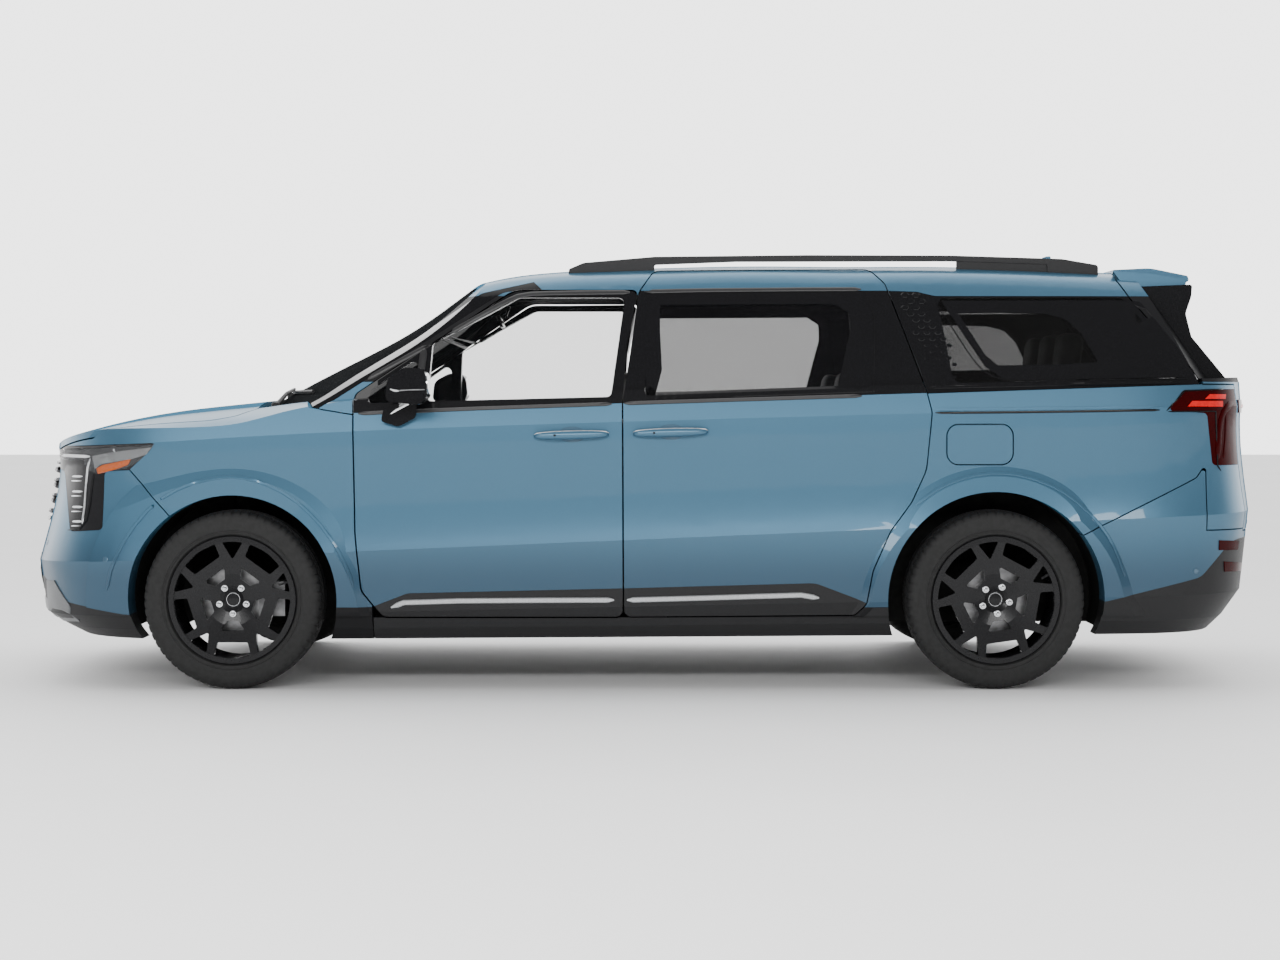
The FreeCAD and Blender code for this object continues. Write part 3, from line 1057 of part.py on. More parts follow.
def underbody(inside):
    """Splash shield, exhaust, fuel tank and jacking pads under the floor."""
    low = FLOOR_BOTTOM_Z - SEAT_GAP
    shield = box(-HALF_LENGTH, FRONT_AXLE_X - CRADLE_HALF_LENGTH - SEAT_GAP, -SHIELD_HALF_WIDTH, 0,
                 low - SHIELD_THICKNESS, low).common(inside)
    along = V(1, 0, 0)
    pipe = Part.makeCylinder(PIPE_RADIUS, MUFFLER_X - FIREWALL_X, V(FIREWALL_X + PIPE_SETBACK, EXHAUST_Y,
                                                                    low - PIPE_RADIUS), along)
    muffler_z = REAR_FLOOR_Z - FLOOR_SHEET - SEAT_GAP - MUFFLER_RADIUS
    muffler = Part.makeCylinder(MUFFLER_RADIUS, MUFFLER_LENGTH, V(MUFFLER_X, EXHAUST_Y, muffler_z), along)
    link = box(MUFFLER_X, MUFFLER_X + PIPE_SETBACK, EXHAUST_Y - LINK_HALF_WIDTH, EXHAUST_Y + LINK_HALF_WIDTH,
               low - 2 * LINK_HALF_WIDTH, REAR_FLOOR_Z - 2 * PIPE_SETBACK)
    tail = Part.makeCylinder(TAIL_PIPE_RADIUS, TAIL_PIPE_LENGTH, V(TAIL_PIPE_X, EXHAUST_Y, TAIL_PIPE_Z), along)
    exhaust = pipe.fuse([link, muffler, tail])
    tank = box(TANK_FRONT_X, TANK_REAR_X, -TANK_LEFT_Y, TANK_RIGHT_Y, low - TANK_DEPTH, low)
    pads = [box(x - JACK_PAD_HALF_LENGTH, x + JACK_PAD_HALF_LENGTH, s * JACK_PAD_Y - JACK_PAD_HALF_WIDTH,
                s * JACK_PAD_Y + JACK_PAD_HALF_WIDTH, JACK_PAD_Z, low) for x in JACK_PLACES for s in (-1, 1)]
    return Part.makeCompound([kept(joined(shield)), exhaust, tank] + pads)


def build():
    """All nodes by name."""
    nodes = {}
    half = left_panels()
    for name in ("sliding_doors", "sliding_door_glass", "quarter_glass", "front_fenders", "headlamps", "tail_lamps",
                 "sliding_door_frames", "sliding_door_cladding", "pillar_trim", "sill_trim", "roof_rails"):
        nodes[name] = both(half[name])
    for name in ("front_bumper", "grille", "rear_bumper", "hood", "tailgate", "windshield", "tailgate_glass",
                 "front_lower_trim", "rear_lower_trim", "spoiler"):
        nodes[name] = joined(half[name])
    beside = box(-LENGTH, LENGTH, -WIDTH, -ROOF_SEAM_Y, 0, 2 * ROOF_HEIGHT)
    side = kept(half["body_shell"].common(beside), SHELL_SLIVER_VOLUME)
    roof = kept(joined(half["body_shell"].cut(beside)), SHELL_SLIVER_VOLUME)
    nodes["body_shell"] = Part.makeCompound([roof, side.cut(half["flap_pocket"]), mirrored(side),
                                             kept(joined(half["antenna"]))])
    nodes["fuel_flap"] = half["fuel_flap"]
    nodes["tailgate_trim"] = Part.makeCompound([kept(joined(half["plate_bracket"])), half["spoiler_fin"],
                                                mirrored(half["spoiler_fin"])])
    for piece in ("front_door", "front_door_glass", "front_door_frame", "front_door_cladding", "mirror"):
        shape = half["front_door_left" if piece == "front_door" else piece]
        nodes[piece + "_left"] = shape
        nodes[piece + "_right"] = mirrored(shape)

    liner_outer = wheel_space(FRONT_AXLE_X, FRONT_ARCH_RADIUS + WELL_WALL, FRONT_WELL_INNER_Y + WELL_WALL).fuse(
        wheel_space(REAR_AXLE_X, REAR_ARCH_RADIUS + WELL_WALL, REAR_WELL_INNER_Y + WELL_WALL))
    wells = wheel_space(FRONT_AXLE_X, FRONT_ARCH_RADIUS, FRONT_WELL_INNER_Y).fuse(
        wheel_space(REAR_AXLE_X, REAR_ARCH_RADIUS, REAR_WELL_INNER_Y))
    inside = lower_body(BODY_WALL + DOOR_GAP + LINER_GAP, HOOD_WALL + LINER_DROP)
    high = box(-LENGTH, LENGTH, -WIDTH, 0, FLOOR_BOTTOM_Z, ROOF_HEIGHT)
    beam_hole = cylinder_y(REAR_BEAM_RADIUS + PANEL_GAP, -WIDTH, 0, REAR_AXLE_X, AXLE_HEIGHT)
    liners = liner_outer.cut([wells, beam_hole]).common(inside).common(high)
    nodes["wheel_arch_liners"] = both(kept(liners))
    room = WELL_WALL + LINER_GAP
    grown_wells = wheel_space(FRONT_AXLE_X, FRONT_ARCH_RADIUS + room, FRONT_WELL_INNER_Y + room).fuse(
        wheel_space(REAR_AXLE_X, REAR_ARCH_RADIUS + room, REAR_WELL_INNER_Y + room))
    floor = box(FIREWALL_X, REAR_FLOOR_X, -WIDTH, 0, FLOOR_BOTTOM_Z, FLOOR_TOP_Z)
    riser = box(REAR_FLOOR_X - FLOOR_SHEET, REAR_FLOOR_X, -WIDTH, 0, FLOOR_BOTTOM_Z, REAR_FLOOR_Z)
    rear_floor = box(REAR_FLOOR_X - FLOOR_SHEET, CABIN_REAR_X, -WIDTH, 0, REAR_FLOOR_Z - FLOOR_SHEET, REAR_FLOOR_Z)
    wall = box(FIREWALL_X, FIREWALL_X + FIREWALL_SHEET, -WIDTH, 0, FLOOR_BOTTOM_Z, FIREWALL_TOP_Z)
    pan = floor.fuse([riser, rear_floor, wall]).common(inside).cut(grown_wells)
    nodes["floor_pan"] = joined(kept(pan))
    cowl = hood_cutter(COWL_DROP + COWL_THICKNESS).cut(hood_cutter(COWL_DROP)).common(
        box(COWL_FRONT_X, COWL_REAR_X, -COWL_HALF_WIDTH, 0, 0, ROOF_HEIGHT))
    nodes["cowl_panel"] = joined(kept(cowl))

    dash = shares_block(DASH_SHARES, -DASH_HALF_SHARE, DASH_HALF_SHARE)
    console = shares_block(CONSOLE_SHARES, -CONSOLE_HALF_SHARE, CONSOLE_HALF_SHARE).translated(V(0, 0, SEAT_GAP))
    nodes["dashboard"] = dash.fuse(console)
    y0, y1 = SEAT_HALF_SHARES
    for name, x in (("front_seats", FRONT_SEAT_PLACE), ("middle_seats", MIDDLE_SEAT_PLACE)):
        pieces = seat(x, SEAT_GAP, -y1, -y0)
        nodes[name] = Part.makeCompound(pieces + [mirrored(p) for p in pieces])
    pieces = seat(REAR_SEAT_PLACE, REAR_SEAT_RISE, -REAR_SEAT_HALF_SHARE, REAR_SEAT_HALF_SHARE, REAR_REST_SHARE)
    rests = [pieces[2].translated(V(0, s * REAR_REST_SPACING, 0)) for s in (-1, 0, 1)]
    nodes["rear_seat"] = Part.makeCompound(pieces[:2] + rests)
    nodes["engine_block"] = shares_block(ENGINE_SHARES, -ENGINE_HALF_SHARE, ENGINE_HALF_SHARE)

    wheel_axis = V(math.cos(math.radians(STEERING_TILT)), 0, math.sin(math.radians(STEERING_TILT)))
    hub = V(STEERING_X, STEERING_Y, STEERING_Z)
    ring = Part.makeTorus(STEERING_RADIUS, STEERING_RIM_RADIUS, hub, wheel_axis)
    centre = Part.makeCylinder(STEERING_HUB_RADIUS, STEERING_HUB_DEPTH,
                               hub - wheel_axis * (STEERING_HUB_DEPTH / 2), wheel_axis)
    side = V(0, 1, 0)
    up = wheel_axis.cross(side)
    spokes = []
    for direction in (side, side * -1, up * (1 if up.z < 0 else -1)):
        spokes.append(Part.makeCylinder(STEERING_SPOKE_RADIUS, STEERING_RADIUS, hub, direction))
    column = Part.makeCylinder(SHAFT_RADIUS, OVERRUN / 2, hub, wheel_axis * -1)
    bore = Part.makeCylinder(SHAFT_RADIUS + SHAFT_PLAY, OVERRUN / 2 + BORE_SPARE, hub, wheel_axis * -1)
    nodes["steering_wheel"] = ring.fuse([centre, column] + spokes)
    nodes["dashboard"] = nodes["dashboard"].cut(bore)

    rim_shape, tyre_shape, brake_shape, knuckle_shape = rim(), tyre(), brake(), knuckle()
    for label, x, side_sign, turn in (("front_left", FRONT_AXLE_X, -1, 0), ("front_right", FRONT_AXLE_X, 1, 0),
                                      ("rear_left", REAR_AXLE_X, -1, REAR_WHEEL_TURN),
                                      ("rear_right", REAR_AXLE_X, 1, REAR_WHEEL_TURN)):
        nodes["rim_" + label] = place_wheel(rim_shape, x, side_sign, turn)
        nodes["tyre_" + label] = place_wheel(tyre_shape, x, side_sign)
        nodes["brake_" + label] = place_wheel(brake_shape, x, side_sign)
        if "front" in label:
            nodes["knuckle_" + label[6:]] = place_wheel(knuckle_shape, x, side_sign)

    nodes["front_suspension"] = joined(front_suspension())
    nodes["rear_suspension"] = joined(rear_suspension())
    nodes["underbody"] = underbody(inside)
    return nodes


if __name__ == "__main__":
    os.makedirs("parts", exist_ok=True)
    for name, shape in build().items():
        shape.exportStep("parts/%s.step" % name)
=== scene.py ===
import bpy
import bmesh
import math
from mathutils import Vector, Matrix
from mathutils.bvhtree import BVHTree
from mathutils.geometry import delaunay_2d_cdt


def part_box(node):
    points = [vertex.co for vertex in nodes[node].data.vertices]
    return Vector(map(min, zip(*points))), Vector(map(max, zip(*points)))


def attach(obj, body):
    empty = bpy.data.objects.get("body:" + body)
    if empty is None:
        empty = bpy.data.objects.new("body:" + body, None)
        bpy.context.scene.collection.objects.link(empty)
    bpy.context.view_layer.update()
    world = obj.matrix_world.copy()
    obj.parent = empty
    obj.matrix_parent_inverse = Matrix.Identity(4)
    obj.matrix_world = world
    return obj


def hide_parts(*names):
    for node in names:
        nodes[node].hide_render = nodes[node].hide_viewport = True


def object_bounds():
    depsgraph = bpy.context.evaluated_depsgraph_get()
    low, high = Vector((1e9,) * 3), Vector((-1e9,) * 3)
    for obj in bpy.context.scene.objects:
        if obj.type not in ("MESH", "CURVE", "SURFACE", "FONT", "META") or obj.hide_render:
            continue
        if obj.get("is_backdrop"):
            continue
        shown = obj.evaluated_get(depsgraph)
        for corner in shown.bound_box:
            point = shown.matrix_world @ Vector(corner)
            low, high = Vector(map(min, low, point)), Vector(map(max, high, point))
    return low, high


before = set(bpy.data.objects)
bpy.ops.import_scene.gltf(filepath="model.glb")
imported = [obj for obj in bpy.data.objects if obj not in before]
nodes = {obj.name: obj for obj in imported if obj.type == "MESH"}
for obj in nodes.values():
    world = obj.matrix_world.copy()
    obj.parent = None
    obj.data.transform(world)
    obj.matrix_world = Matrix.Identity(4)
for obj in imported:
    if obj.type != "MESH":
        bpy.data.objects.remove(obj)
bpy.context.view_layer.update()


# Finishes
NOISE_DETAIL, GRAIN_DETAIL, GRAIN_DEPTH, COAT_ROUGHNESS = 4.0, 3.0, 0.002, 0.03
RAMP_STOPS = (0.35, 0.65)
# The body paint turns black where it faces inward, on the window pillars and along the rocker
INWARD_LIMIT, CEILING_NORMAL_Z = -0.05, -0.6
BELT_Z, PILLAR_TOP_Z, ROCKER_TOP_Z, ROCKER_FRONT_X = 1.245, 1.600, 0.333, -1.45
LINING, LINING_SPECULAR = (0.012, 0.012, 0.013, 1), 0.1
PAINT_ROUGHNESS, LINING_ROUGHNESS = 0.34, 0.42
# Its gloss fades at glancing angles, and painted shade darkens its colour low on the sides
GLANCE = (0.70, 0.90)
PAINTED_SHADE_SPAN_Z, PAINTED_SHADE_MOST, PAINTED_SHADE_TONE = (0.72, 0.42), 0.85, (0.022, 0.058, 0.098, 1)


def ranged(n, l, value, source=(0.0, 1.0), target=(0.0, 1.0), smooth=False):
    """A value mapped from one span to another."""
    node = n.new("ShaderNodeMapRange")
    if smooth:
        node.interpolation_type = "SMOOTHSTEP"
    for socket, number in zip(("From Min", "From Max", "To Min", "To Max"), source + target):
        node.inputs[socket].default_value = number
    l.new(value, node.inputs["Value"])
    return node.outputs["Result"]


def noise_of(n, l, mapping, scale, detail):
    """A noise's factor at the mapped place."""
    noise = n.new("ShaderNodeTexNoise")
    noise.inputs["Scale"].default_value = scale
    noise.inputs["Detail"].default_value = detail
    l.new(mapping.outputs["Vector"], noise.inputs["Vector"])
    return noise.outputs["Fac"]


def material(name, low, high, scale, rough, metal=0.0, coat=0.0, bump=0.0, bump_scale=0.0, alpha=1.0, sheen=0.0,
        glow=0.0, spec=0.5, stretch=(1, 1, 1), lined=False):
    """A material whose colour, roughness and relief vary with noise in the object's own space."""
    m = bpy.data.materials.new(name)
    m.use_nodes = True
    n, l = m.node_tree.nodes, m.node_tree.links
    shader = n["Principled BSDF"]
    place = n.new("ShaderNodeTexCoord")
    mapping = n.new("ShaderNodeMapping")
    mapping.inputs["Scale"].default_value = stretch
    l.new(place.outputs["Object"], mapping.inputs["Vector"])
    noise = noise_of(n, l, mapping, scale, NOISE_DETAIL)
    ramp = n.new("ShaderNodeValToRGB")
    for stop, position, tone in zip(ramp.color_ramp.elements, RAMP_STOPS, (low, high)):
        stop.position = position
        stop.color = (*tone, 1)
    l.new(noise, ramp.inputs["Fac"])
    l.new(ramp.outputs["Color"], shader.inputs["Base Color"])
    l.new(ranged(n, l, noise, target=rough), shader.inputs["Roughness"])
    shader.inputs["Metallic"].default_value = metal
    shader.inputs["Specular IOR Level"].default_value = spec
    if coat:
        shader.inputs["Coat Weight"].default_value = coat
        shader.inputs["Coat Roughness"].default_value = COAT_ROUGHNESS
    if sheen:
        shader.inputs["Sheen Weight"].default_value = sheen
    if alpha < 1:
        shader.inputs["Alpha"].default_value = alpha
    if glow:
        shader.inputs["Emission Color"].default_value = (*high, 1)
        shader.inputs["Emission Strength"].default_value = glow
    if bump:
        relief = n.new("ShaderNodeBump")
        relief.inputs["Strength"].default_value = bump
        relief.inputs["Distance"].default_value = GRAIN_DEPTH
        l.new(noise_of(n, l, mapping, bump_scale, GRAIN_DETAIL), relief.inputs["Height"])
        l.new(relief.outputs["Normal"], shader.inputs["Normal"])
    if lined:
        line_inside(n, l, shader, place, metal, coat, spec)
    return m


def line_inside(n, l, shader, place, metal, coat, spec):
    """Black inside, on the window pillars and along the rocker; painted shade low on the sides."""
    def chain(operation, a, b):
        """One math node; a and b are sockets or numbers."""
        node = n.new("ShaderNodeMath")
        node.operation = operation
        for socket, value in zip(node.inputs, (a, b)):
            if isinstance(value, float):
                socket.default_value = value
            else:
                l.new(value, socket)
        return node.outputs["Value"]

    normal, spot = n.new("ShaderNodeSeparateXYZ"), n.new("ShaderNodeSeparateXYZ")
    l.new(place.outputs["Normal"], normal.inputs["Vector"])
    l.new(place.outputs["Object"], spot.inputs["Vector"])
    x, z = spot.outputs["X"], spot.outputs["Z"]
    inward = chain("LESS_THAN", chain("MULTIPLY", normal.outputs["Y"], spot.outputs["Y"]), INWARD_LIMIT)
    over_belt = chain("GREATER_THAN", z, BELT_Z)
    ceiling = chain("MULTIPLY", over_belt, chain("LESS_THAN", normal.outputs["Z"], CEILING_NORMAL_Z))
    pillars = chain("MULTIPLY", over_belt, chain("LESS_THAN", z, PILLAR_TOP_Z))
    rocker = chain("MULTIPLY", chain("LESS_THAN", z, ROCKER_TOP_Z), chain("GREATER_THAN", x, ROCKER_FRONT_X))
    mask = chain("MAXIMUM", chain("MAXIMUM", inward, ceiling), chain("MAXIMUM", pillars, rocker))
    edge = n.new("ShaderNodeLayerWeight")
    edge.inputs["Blend"].default_value = 0.5
    gloss = ranged(n, l, edge.outputs["Facing"], GLANCE, (1.0, 0.0))
    dulled = (("Metallic", metal, 0.0), ("Coat Weight", coat, 0.0), ("Specular IOR Level", spec, LINING_SPECULAR))
    for socket, outer, inner in dulled:
        l.new(chain("MULTIPLY", ranged(n, l, mask, target=(outer, inner)), gloss), shader.inputs[socket])
    l.new(ranged(n, l, mask, target=(PAINT_ROUGHNESS, LINING_ROUGHNESS)), shader.inputs["Roughness"])
    # Painted shade: the paint darkens towards the bottom of the sides
    deep = ranged(n, l, z, PAINTED_SHADE_SPAN_Z, (0.0, PAINTED_SHADE_MOST), smooth=True)
    colour = shader.inputs["Base Color"].links[0].from_socket
    for factor, tone in ((deep, PAINTED_SHADE_TONE), (mask, LINING)):
        mix = n.new("ShaderNodeMix")
        mix.data_type = "RGBA"
        a, b = [socket for socket in mix.inputs if socket.type == "RGBA"]
        l.new(colour, a)
        b.default_value = tone
        l.new(factor, mix.inputs["Factor"])
        colour = [socket for socket in mix.outputs if socket.type == "RGBA"][0]
    l.new(colour, shader.inputs["Base Color"])


PAINT = material("body_paint", (0.048, 0.130, 0.205), (0.056, 0.148, 0.230), 900, (0.32, 0.38), metal=0.45,
    coat=0.4, spec=0.3, lined=True)
BLACK_GLOSS = material("gloss_black", (0.004, 0.004, 0.005), (0.007, 0.007, 0.008), 300, (0.10, 0.14), spec=0.25)
BLACK_TRIM = material("black_trim", (0.010, 0.010, 0.011), (0.015, 0.015, 0.016), 300, (0.45, 0.6), spec=0.3,
    bump=0.15, bump_scale=1500)
GLASS_FRONT = material("glass_clear", (0.006, 0.007, 0.008), (0.009, 0.010, 0.011), 3, (0.01, 0.02), alpha=0.14,
    spec=0.4)
GLASS_WIND = material("glass_windshield", (0.010, 0.011, 0.012), (0.013, 0.014, 0.015), 3, (0.03, 0.05),
    alpha=0.80, spec=0.0)
GLASS_SLIDE = material("glass_tinted", (0.003, 0.003, 0.004), (0.005, 0.005, 0.006), 3, (0.01, 0.02), alpha=0.42,
    spec=0.3)
GLASS_REAR = material("glass_dark", (0.002, 0.002, 0.002), (0.004, 0.004, 0.004), 3, (0.01, 0.02), alpha=0.58,
    spec=0.3)
CHROME = material("chrome", (0.62, 0.63, 0.65), (0.75, 0.76, 0.78), 80, (0.08, 0.16), metal=1.0)
DARK_CHROME = material("dark_chrome", (0.050, 0.050, 0.054), (0.070, 0.070, 0.074), 300, (0.15, 0.20), metal=1.0)
SATIN = material("satin_silver", (0.42, 0.43, 0.44), (0.52, 0.53, 0.54), 200, (0.28, 0.36), metal=1.0)
LAMP = material("lamp_clear", (0.010, 0.010, 0.011), (0.016, 0.016, 0.018), 300, (0.06, 0.10), spec=0.25)
RED = material("lamp_red", (0.026, 0.0006, 0.001), (0.038, 0.001, 0.0015), 200, (0.10, 0.15), spec=0.06)
AMBER = material("lamp_amber", (0.42, 0.075, 0.008), (0.50, 0.10, 0.010), 200, (0.1, 0.2), spec=0.3)
RUBBER = material("tyre_rubber", (0.012, 0.012, 0.012), (0.018, 0.018, 0.018), 60, (0.62, 0.8), bump=0.2,
    bump_scale=700, spec=0.3)
RIM = material("rim_black", (0.006, 0.006, 0.007), (0.009, 0.009, 0.010), 300, (0.22, 0.30), coat=0.1, spec=0.2)
STEEL = material("brake_steel", (0.20, 0.20, 0.205), (0.34, 0.34, 0.345), 30, (0.3, 0.45), metal=1.0,
    stretch=(1, 40, 1))
UNDER = material("underbody", (0.006, 0.006, 0.006), (0.012, 0.012, 0.011), 30, (0.7, 0.9), bump=0.3,
    bump_scale=300, spec=0.2)
PLASTIC = material("interior_dark", (0.014, 0.014, 0.015), (0.022, 0.022, 0.023), 200, (0.5, 0.65), bump=0.2,
    bump_scale=900)
LEATHER = material("seat_leather", (0.022, 0.021, 0.021), (0.036, 0.035, 0.034), 25, (0.42, 0.55), bump=0.35,
    bump_scale=350, sheen=0.2)
ALLOY = material("engine_grey", (0.16, 0.16, 0.165), (0.26, 0.26, 0.265), 30, (0.45, 0.6), metal=0.8, bump=0.3,
    bump_scale=200)
GREY = material("grey_skid", (0.10, 0.105, 0.11), (0.14, 0.145, 0.15), 200, (0.30, 0.42), metal=0.4)
SATIN_BLACK = material("satin_black", (0.018, 0.018, 0.019), (0.026, 0.026, 0.027), 300, (0.30, 0.38), spec=0.4)
# A darker copy of the body paint: painted shade, used in the handle pockets and on the parking sensors
PAINT_SHADED = material("body_paint_shaded", (0.035, 0.095, 0.155), (0.042, 0.110, 0.175), 900, (0.34, 0.42),
    metal=0.45, coat=1.0)
LAMP_WHITE = material("lamp_white", (0.72, 0.74, 0.76), (0.80, 0.81, 0.82), 60, (0.12, 0.2))
LAMP_SILVER = material("lamp_silver", (0.22, 0.225, 0.23), (0.34, 0.345, 0.35), 30, (0.18, 0.28), metal=0.9)
LAMP_GLOW = material("lamp_red_bright", (0.55, 0.006, 0.006), (0.65, 0.009, 0.008), 60, (0.1, 0.18), spec=0.3,
    glow=0.10)
LENS = material("lamp_lens", (0.20, 0.21, 0.22), (0.24, 0.25, 0.26), 20, (0.01, 0.03), alpha=0.10, spec=0.5)
MIRROR = material("mirror_silver", (0.86, 0.87, 0.88), (0.90, 0.91, 0.92), 5, (0.01, 0.02), metal=1.0)
SCREEN = material("screen_black", (0.004, 0.005, 0.006), (0.008, 0.009, 0.011), 5, (0.04, 0.08), coat=1.0)

# Each wheel's place along the length, and its side
WHEELS = {"front_left": (-1.6495, -1), "front_right": (-1.6495, 1), "rear_left": (1.4405, -1),
    "rear_right": (1.4405, 1)}
FINISH = {
    PAINT: ("body_shell", "front_bumper", "front_fenders", "rear_bumper", "sliding_doors", "hood", "tailgate",
            "fuel_flap", "front_door_left", "front_door_right", "spoiler"),
    BLACK_GLOSS: ("grille", "sliding_door_frames", "front_door_frame_left", "front_door_frame_right",
    "pillar_trim",
                  "tailgate_trim", "mirror_left", "mirror_right"),
    BLACK_TRIM: ("cowl_panel", "sill_trim", "front_lower_trim", "rear_lower_trim", "sliding_door_cladding",
                 "front_door_cladding_left", "front_door_cladding_right", "roof_rails"),
    GLASS_WIND: ("windshield",),
    GLASS_FRONT: ("front_door_glass_left", "front_door_glass_right"),
    GLASS_SLIDE: ("sliding_door_glass",),
    GLASS_REAR: ("quarter_glass", "tailgate_glass"),
    LAMP: ("headlamps",),
    RED: ("tail_lamps",),
    UNDER: ("wheel_arch_liners", "floor_pan", "front_suspension", "rear_suspension", "underbody"),
    PLASTIC: ("dashboard", "steering_wheel"),
    LEATHER: ("front_seats", "middle_seats", "rear_seat"),
    ALLOY: ("engine_block", "knuckle_left", "knuckle_right"),
    RIM: tuple("rim_" + w for w in WHEELS),
    RUBBER: tuple("tyre_" + w for w in WHEELS),
    STEEL: tuple("brake_" + w for w in WHEELS),
}
for finish, names in FINISH.items():
    for name in names:
        nodes[name].data.materials.clear()
        nodes[name].data.materials.append(finish)


# Tools for shaping pieces
# The photograph's camera, the pixel on its axis, and the size of a pixel on the plane of the near side
PHOTO_WIDTH, PHOTO_HEIGHT, SENSOR = 1280, 960, 36.0
DISTANCE, EYE, SIDE_PLANE_Y = 9.5, 1.171, -0.985
PIXEL, AXIS_U, AXIS_V = 0.0040345, 640, 400
CAMERA_AT = Vector((0, SIDE_PLANE_Y - DISTANCE, EYE))
# How far along a ray that misses the nearest place is looked for
MISS_REACH = 9.5
SEAM_WIDTH = 0.010


def tree_of(names):
    """A ray-casting tree of several CAD nodes."""
    bm = bmesh.new()
    for name in names:
        bm.from_mesh(nodes[name].data)
    tree = BVHTree.FromBMesh(bm)
    bm.free()
    return tree


WHEEL_NODES = [n for n in nodes if n.startswith(("rim", "tyre", "brake", "knuckle"))]
INSIDE = ["front_seats", "middle_seats", "rear_seat", "dashboard", "steering_wheel", "engine_block", "floor_pan",
    "underbody", "front_suspension", "rear_suspension", "wheel_arch_liners"]
SKIN = tree_of([n for n in nodes if n not in WHEEL_NODES + INSIDE + ["mirror_left", "mirror_right",
    "roof_rails"]])


def cast(tree, origin, direction):
    """The point and the normal towards the eye where a ray meets the body."""
    p, n = tree.ray_cast(origin, direction)[:2]
    if p is None:
        p, n = tree.find_nearest(origin + direction * MISS_REACH)[:2]
    if n.dot(direction) > 0:
        n = -n
    return p, n


def photo(u, v, tree=SKIN):
    """The place on the left side that shows at a pixel of the photograph."""
    aim = Vector(((u - AXIS_U) * PIXEL, SIDE_PLANE_Y, CAMERA_AT.z - (v - AXIS_V) * PIXEL)) - CAMERA_AT
    return cast(tree, CAMERA_AT, aim.normalized())


def front(y, z):
    return cast(SKIN, Vector((-4, y, z)), Vector((1, 0, 0)))


def rear(y, z):
    return cast(SKIN, Vector((4, y, z)), Vector((-1, 0, 0)))


def top(x, y):
    return cast(SKIN, Vector((x, y, 3)), Vector((0, 0, -1)))


def mesh_of(name, verts, faces):
    """A mesh from points and faces."""
    mesh = bpy.data.meshes.new(name)
    mesh.from_pydata([tuple(v) for v in verts], [], faces)
    mesh.validate()
    return mesh


def piece(name, part, finish, body="body", sharp=35.0):
    """Adds points and faces to the scene as a piece that moves with a body."""
    mesh = mesh_of(name, *part)
    o = bpy.data.objects.new(name, mesh)
    bpy.context.collection.objects.link(o)
    mesh.materials.append(finish)
    mesh.polygons.foreach_set("use_smooth", [True] * len(mesh.polygons))
    mesh.set_sharp_from_angle(angle=math.radians(sharp))
    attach(o, body)
    return o


def pair(name, part, finish, body="body", sharp=35.0):
    """A left piece and its mirror image on the right; the body's name changes side with it."""
    verts, faces = part
    flipped = [(v[0], -v[1], v[2]) for v in verts], [tuple(reversed(f)) for f in faces]
    piece(name + "_left", part, finish, body, sharp)
    piece(name + "_right", flipped, finish, body.replace("_left", "_right"), sharp)


def resampled(points, spacing, closed=False):
    """Points along a polyline, about evenly spaced, with its corners kept."""
    points = [Vector(p) for p in points]
    out = []
    for a, b in zip(points, points[1:] + points[:1] if closed else points[1:]):
        steps = max(1, round((b - a).length / spacing))
        out += [a.lerp(b, i / steps) for i in range(steps)]
    return out if closed else out + [points[-1]]


def softened(points, turns=2, closed=False):
    """A polyline with its corners cut away, as for a smooth curve."""
    points = [Vector(p) for p in points]
    for _ in range(turns):
        out = []
        for a, b in zip(points, points[1:] + points[:1] if closed else points[1:]):
            out += [a.lerp(b, 0.25), a.lerp(b, 0.75)]
        points = out if closed else [points[0]] + out[1:-1] + [points[-1]]
    return points


def ring_faces(rings, m):
    """The faces between rings of m points each, closed at both ends."""
    faces = []
    for i in range(rings - 1):
        for j in range(m):
            a, b = i * m + j, i * m + (j + 1) % m
            faces.append((a, b, b + m, a + m))
    return faces + [tuple(reversed(range(m))), tuple(range((rings - 1) * m, rings * m))]


def strip_mesh(hits, width, height, sink=0.002, taper=0.35):
    """A raised band along points on the body; each point comes with its normal."""
    verts = []
    profile = [(-0.5, -sink), (-0.5, height * 0.55), (-0.34, height), (0.34, height), (0.5, height * 0.55),
        (0.5, -sink)]
    for i, (p, n) in enumerate(hits):
        t = (hits[min(i + 1, len(hits) - 1)][0] - hits[max(i - 1, 0)][0]).normalized()
        side = n.cross(t).normalized()
        k = taper if i in (0, len(hits) - 1) else 1
        verts += [p + side * a * width * k + n * (h if h < 0 else h * k) for a, h in profile]
    return verts, ring_faces(len(hits), len(profile))


def strip(name, path, width, height, finish, body="body", look=photo, spacing=6.0, soft=0, twin=True):
    """A raised band along a path, and its twin on the right."""
    points = resampled(softened(path, soft) if soft else path, spacing)
    (pair if twin else piece)(name, strip_mesh([look(*p) for p in points], width, height), finish, body)


def inside(p, outline):
    """Whether a point lies inside a flat outline."""
    hit, j = False, len(outline) - 1
    for i in range(len(outline)):
        a, b = outline[i], outline[j]
        if (a[1] > p[1]) != (b[1] > p[1]) and p[0] < (b[0] - a[0]) * (p[1] - a[1]) / (b[1] - a[1]) + a[0]:
            hit = not hit
        j = i
    return hit


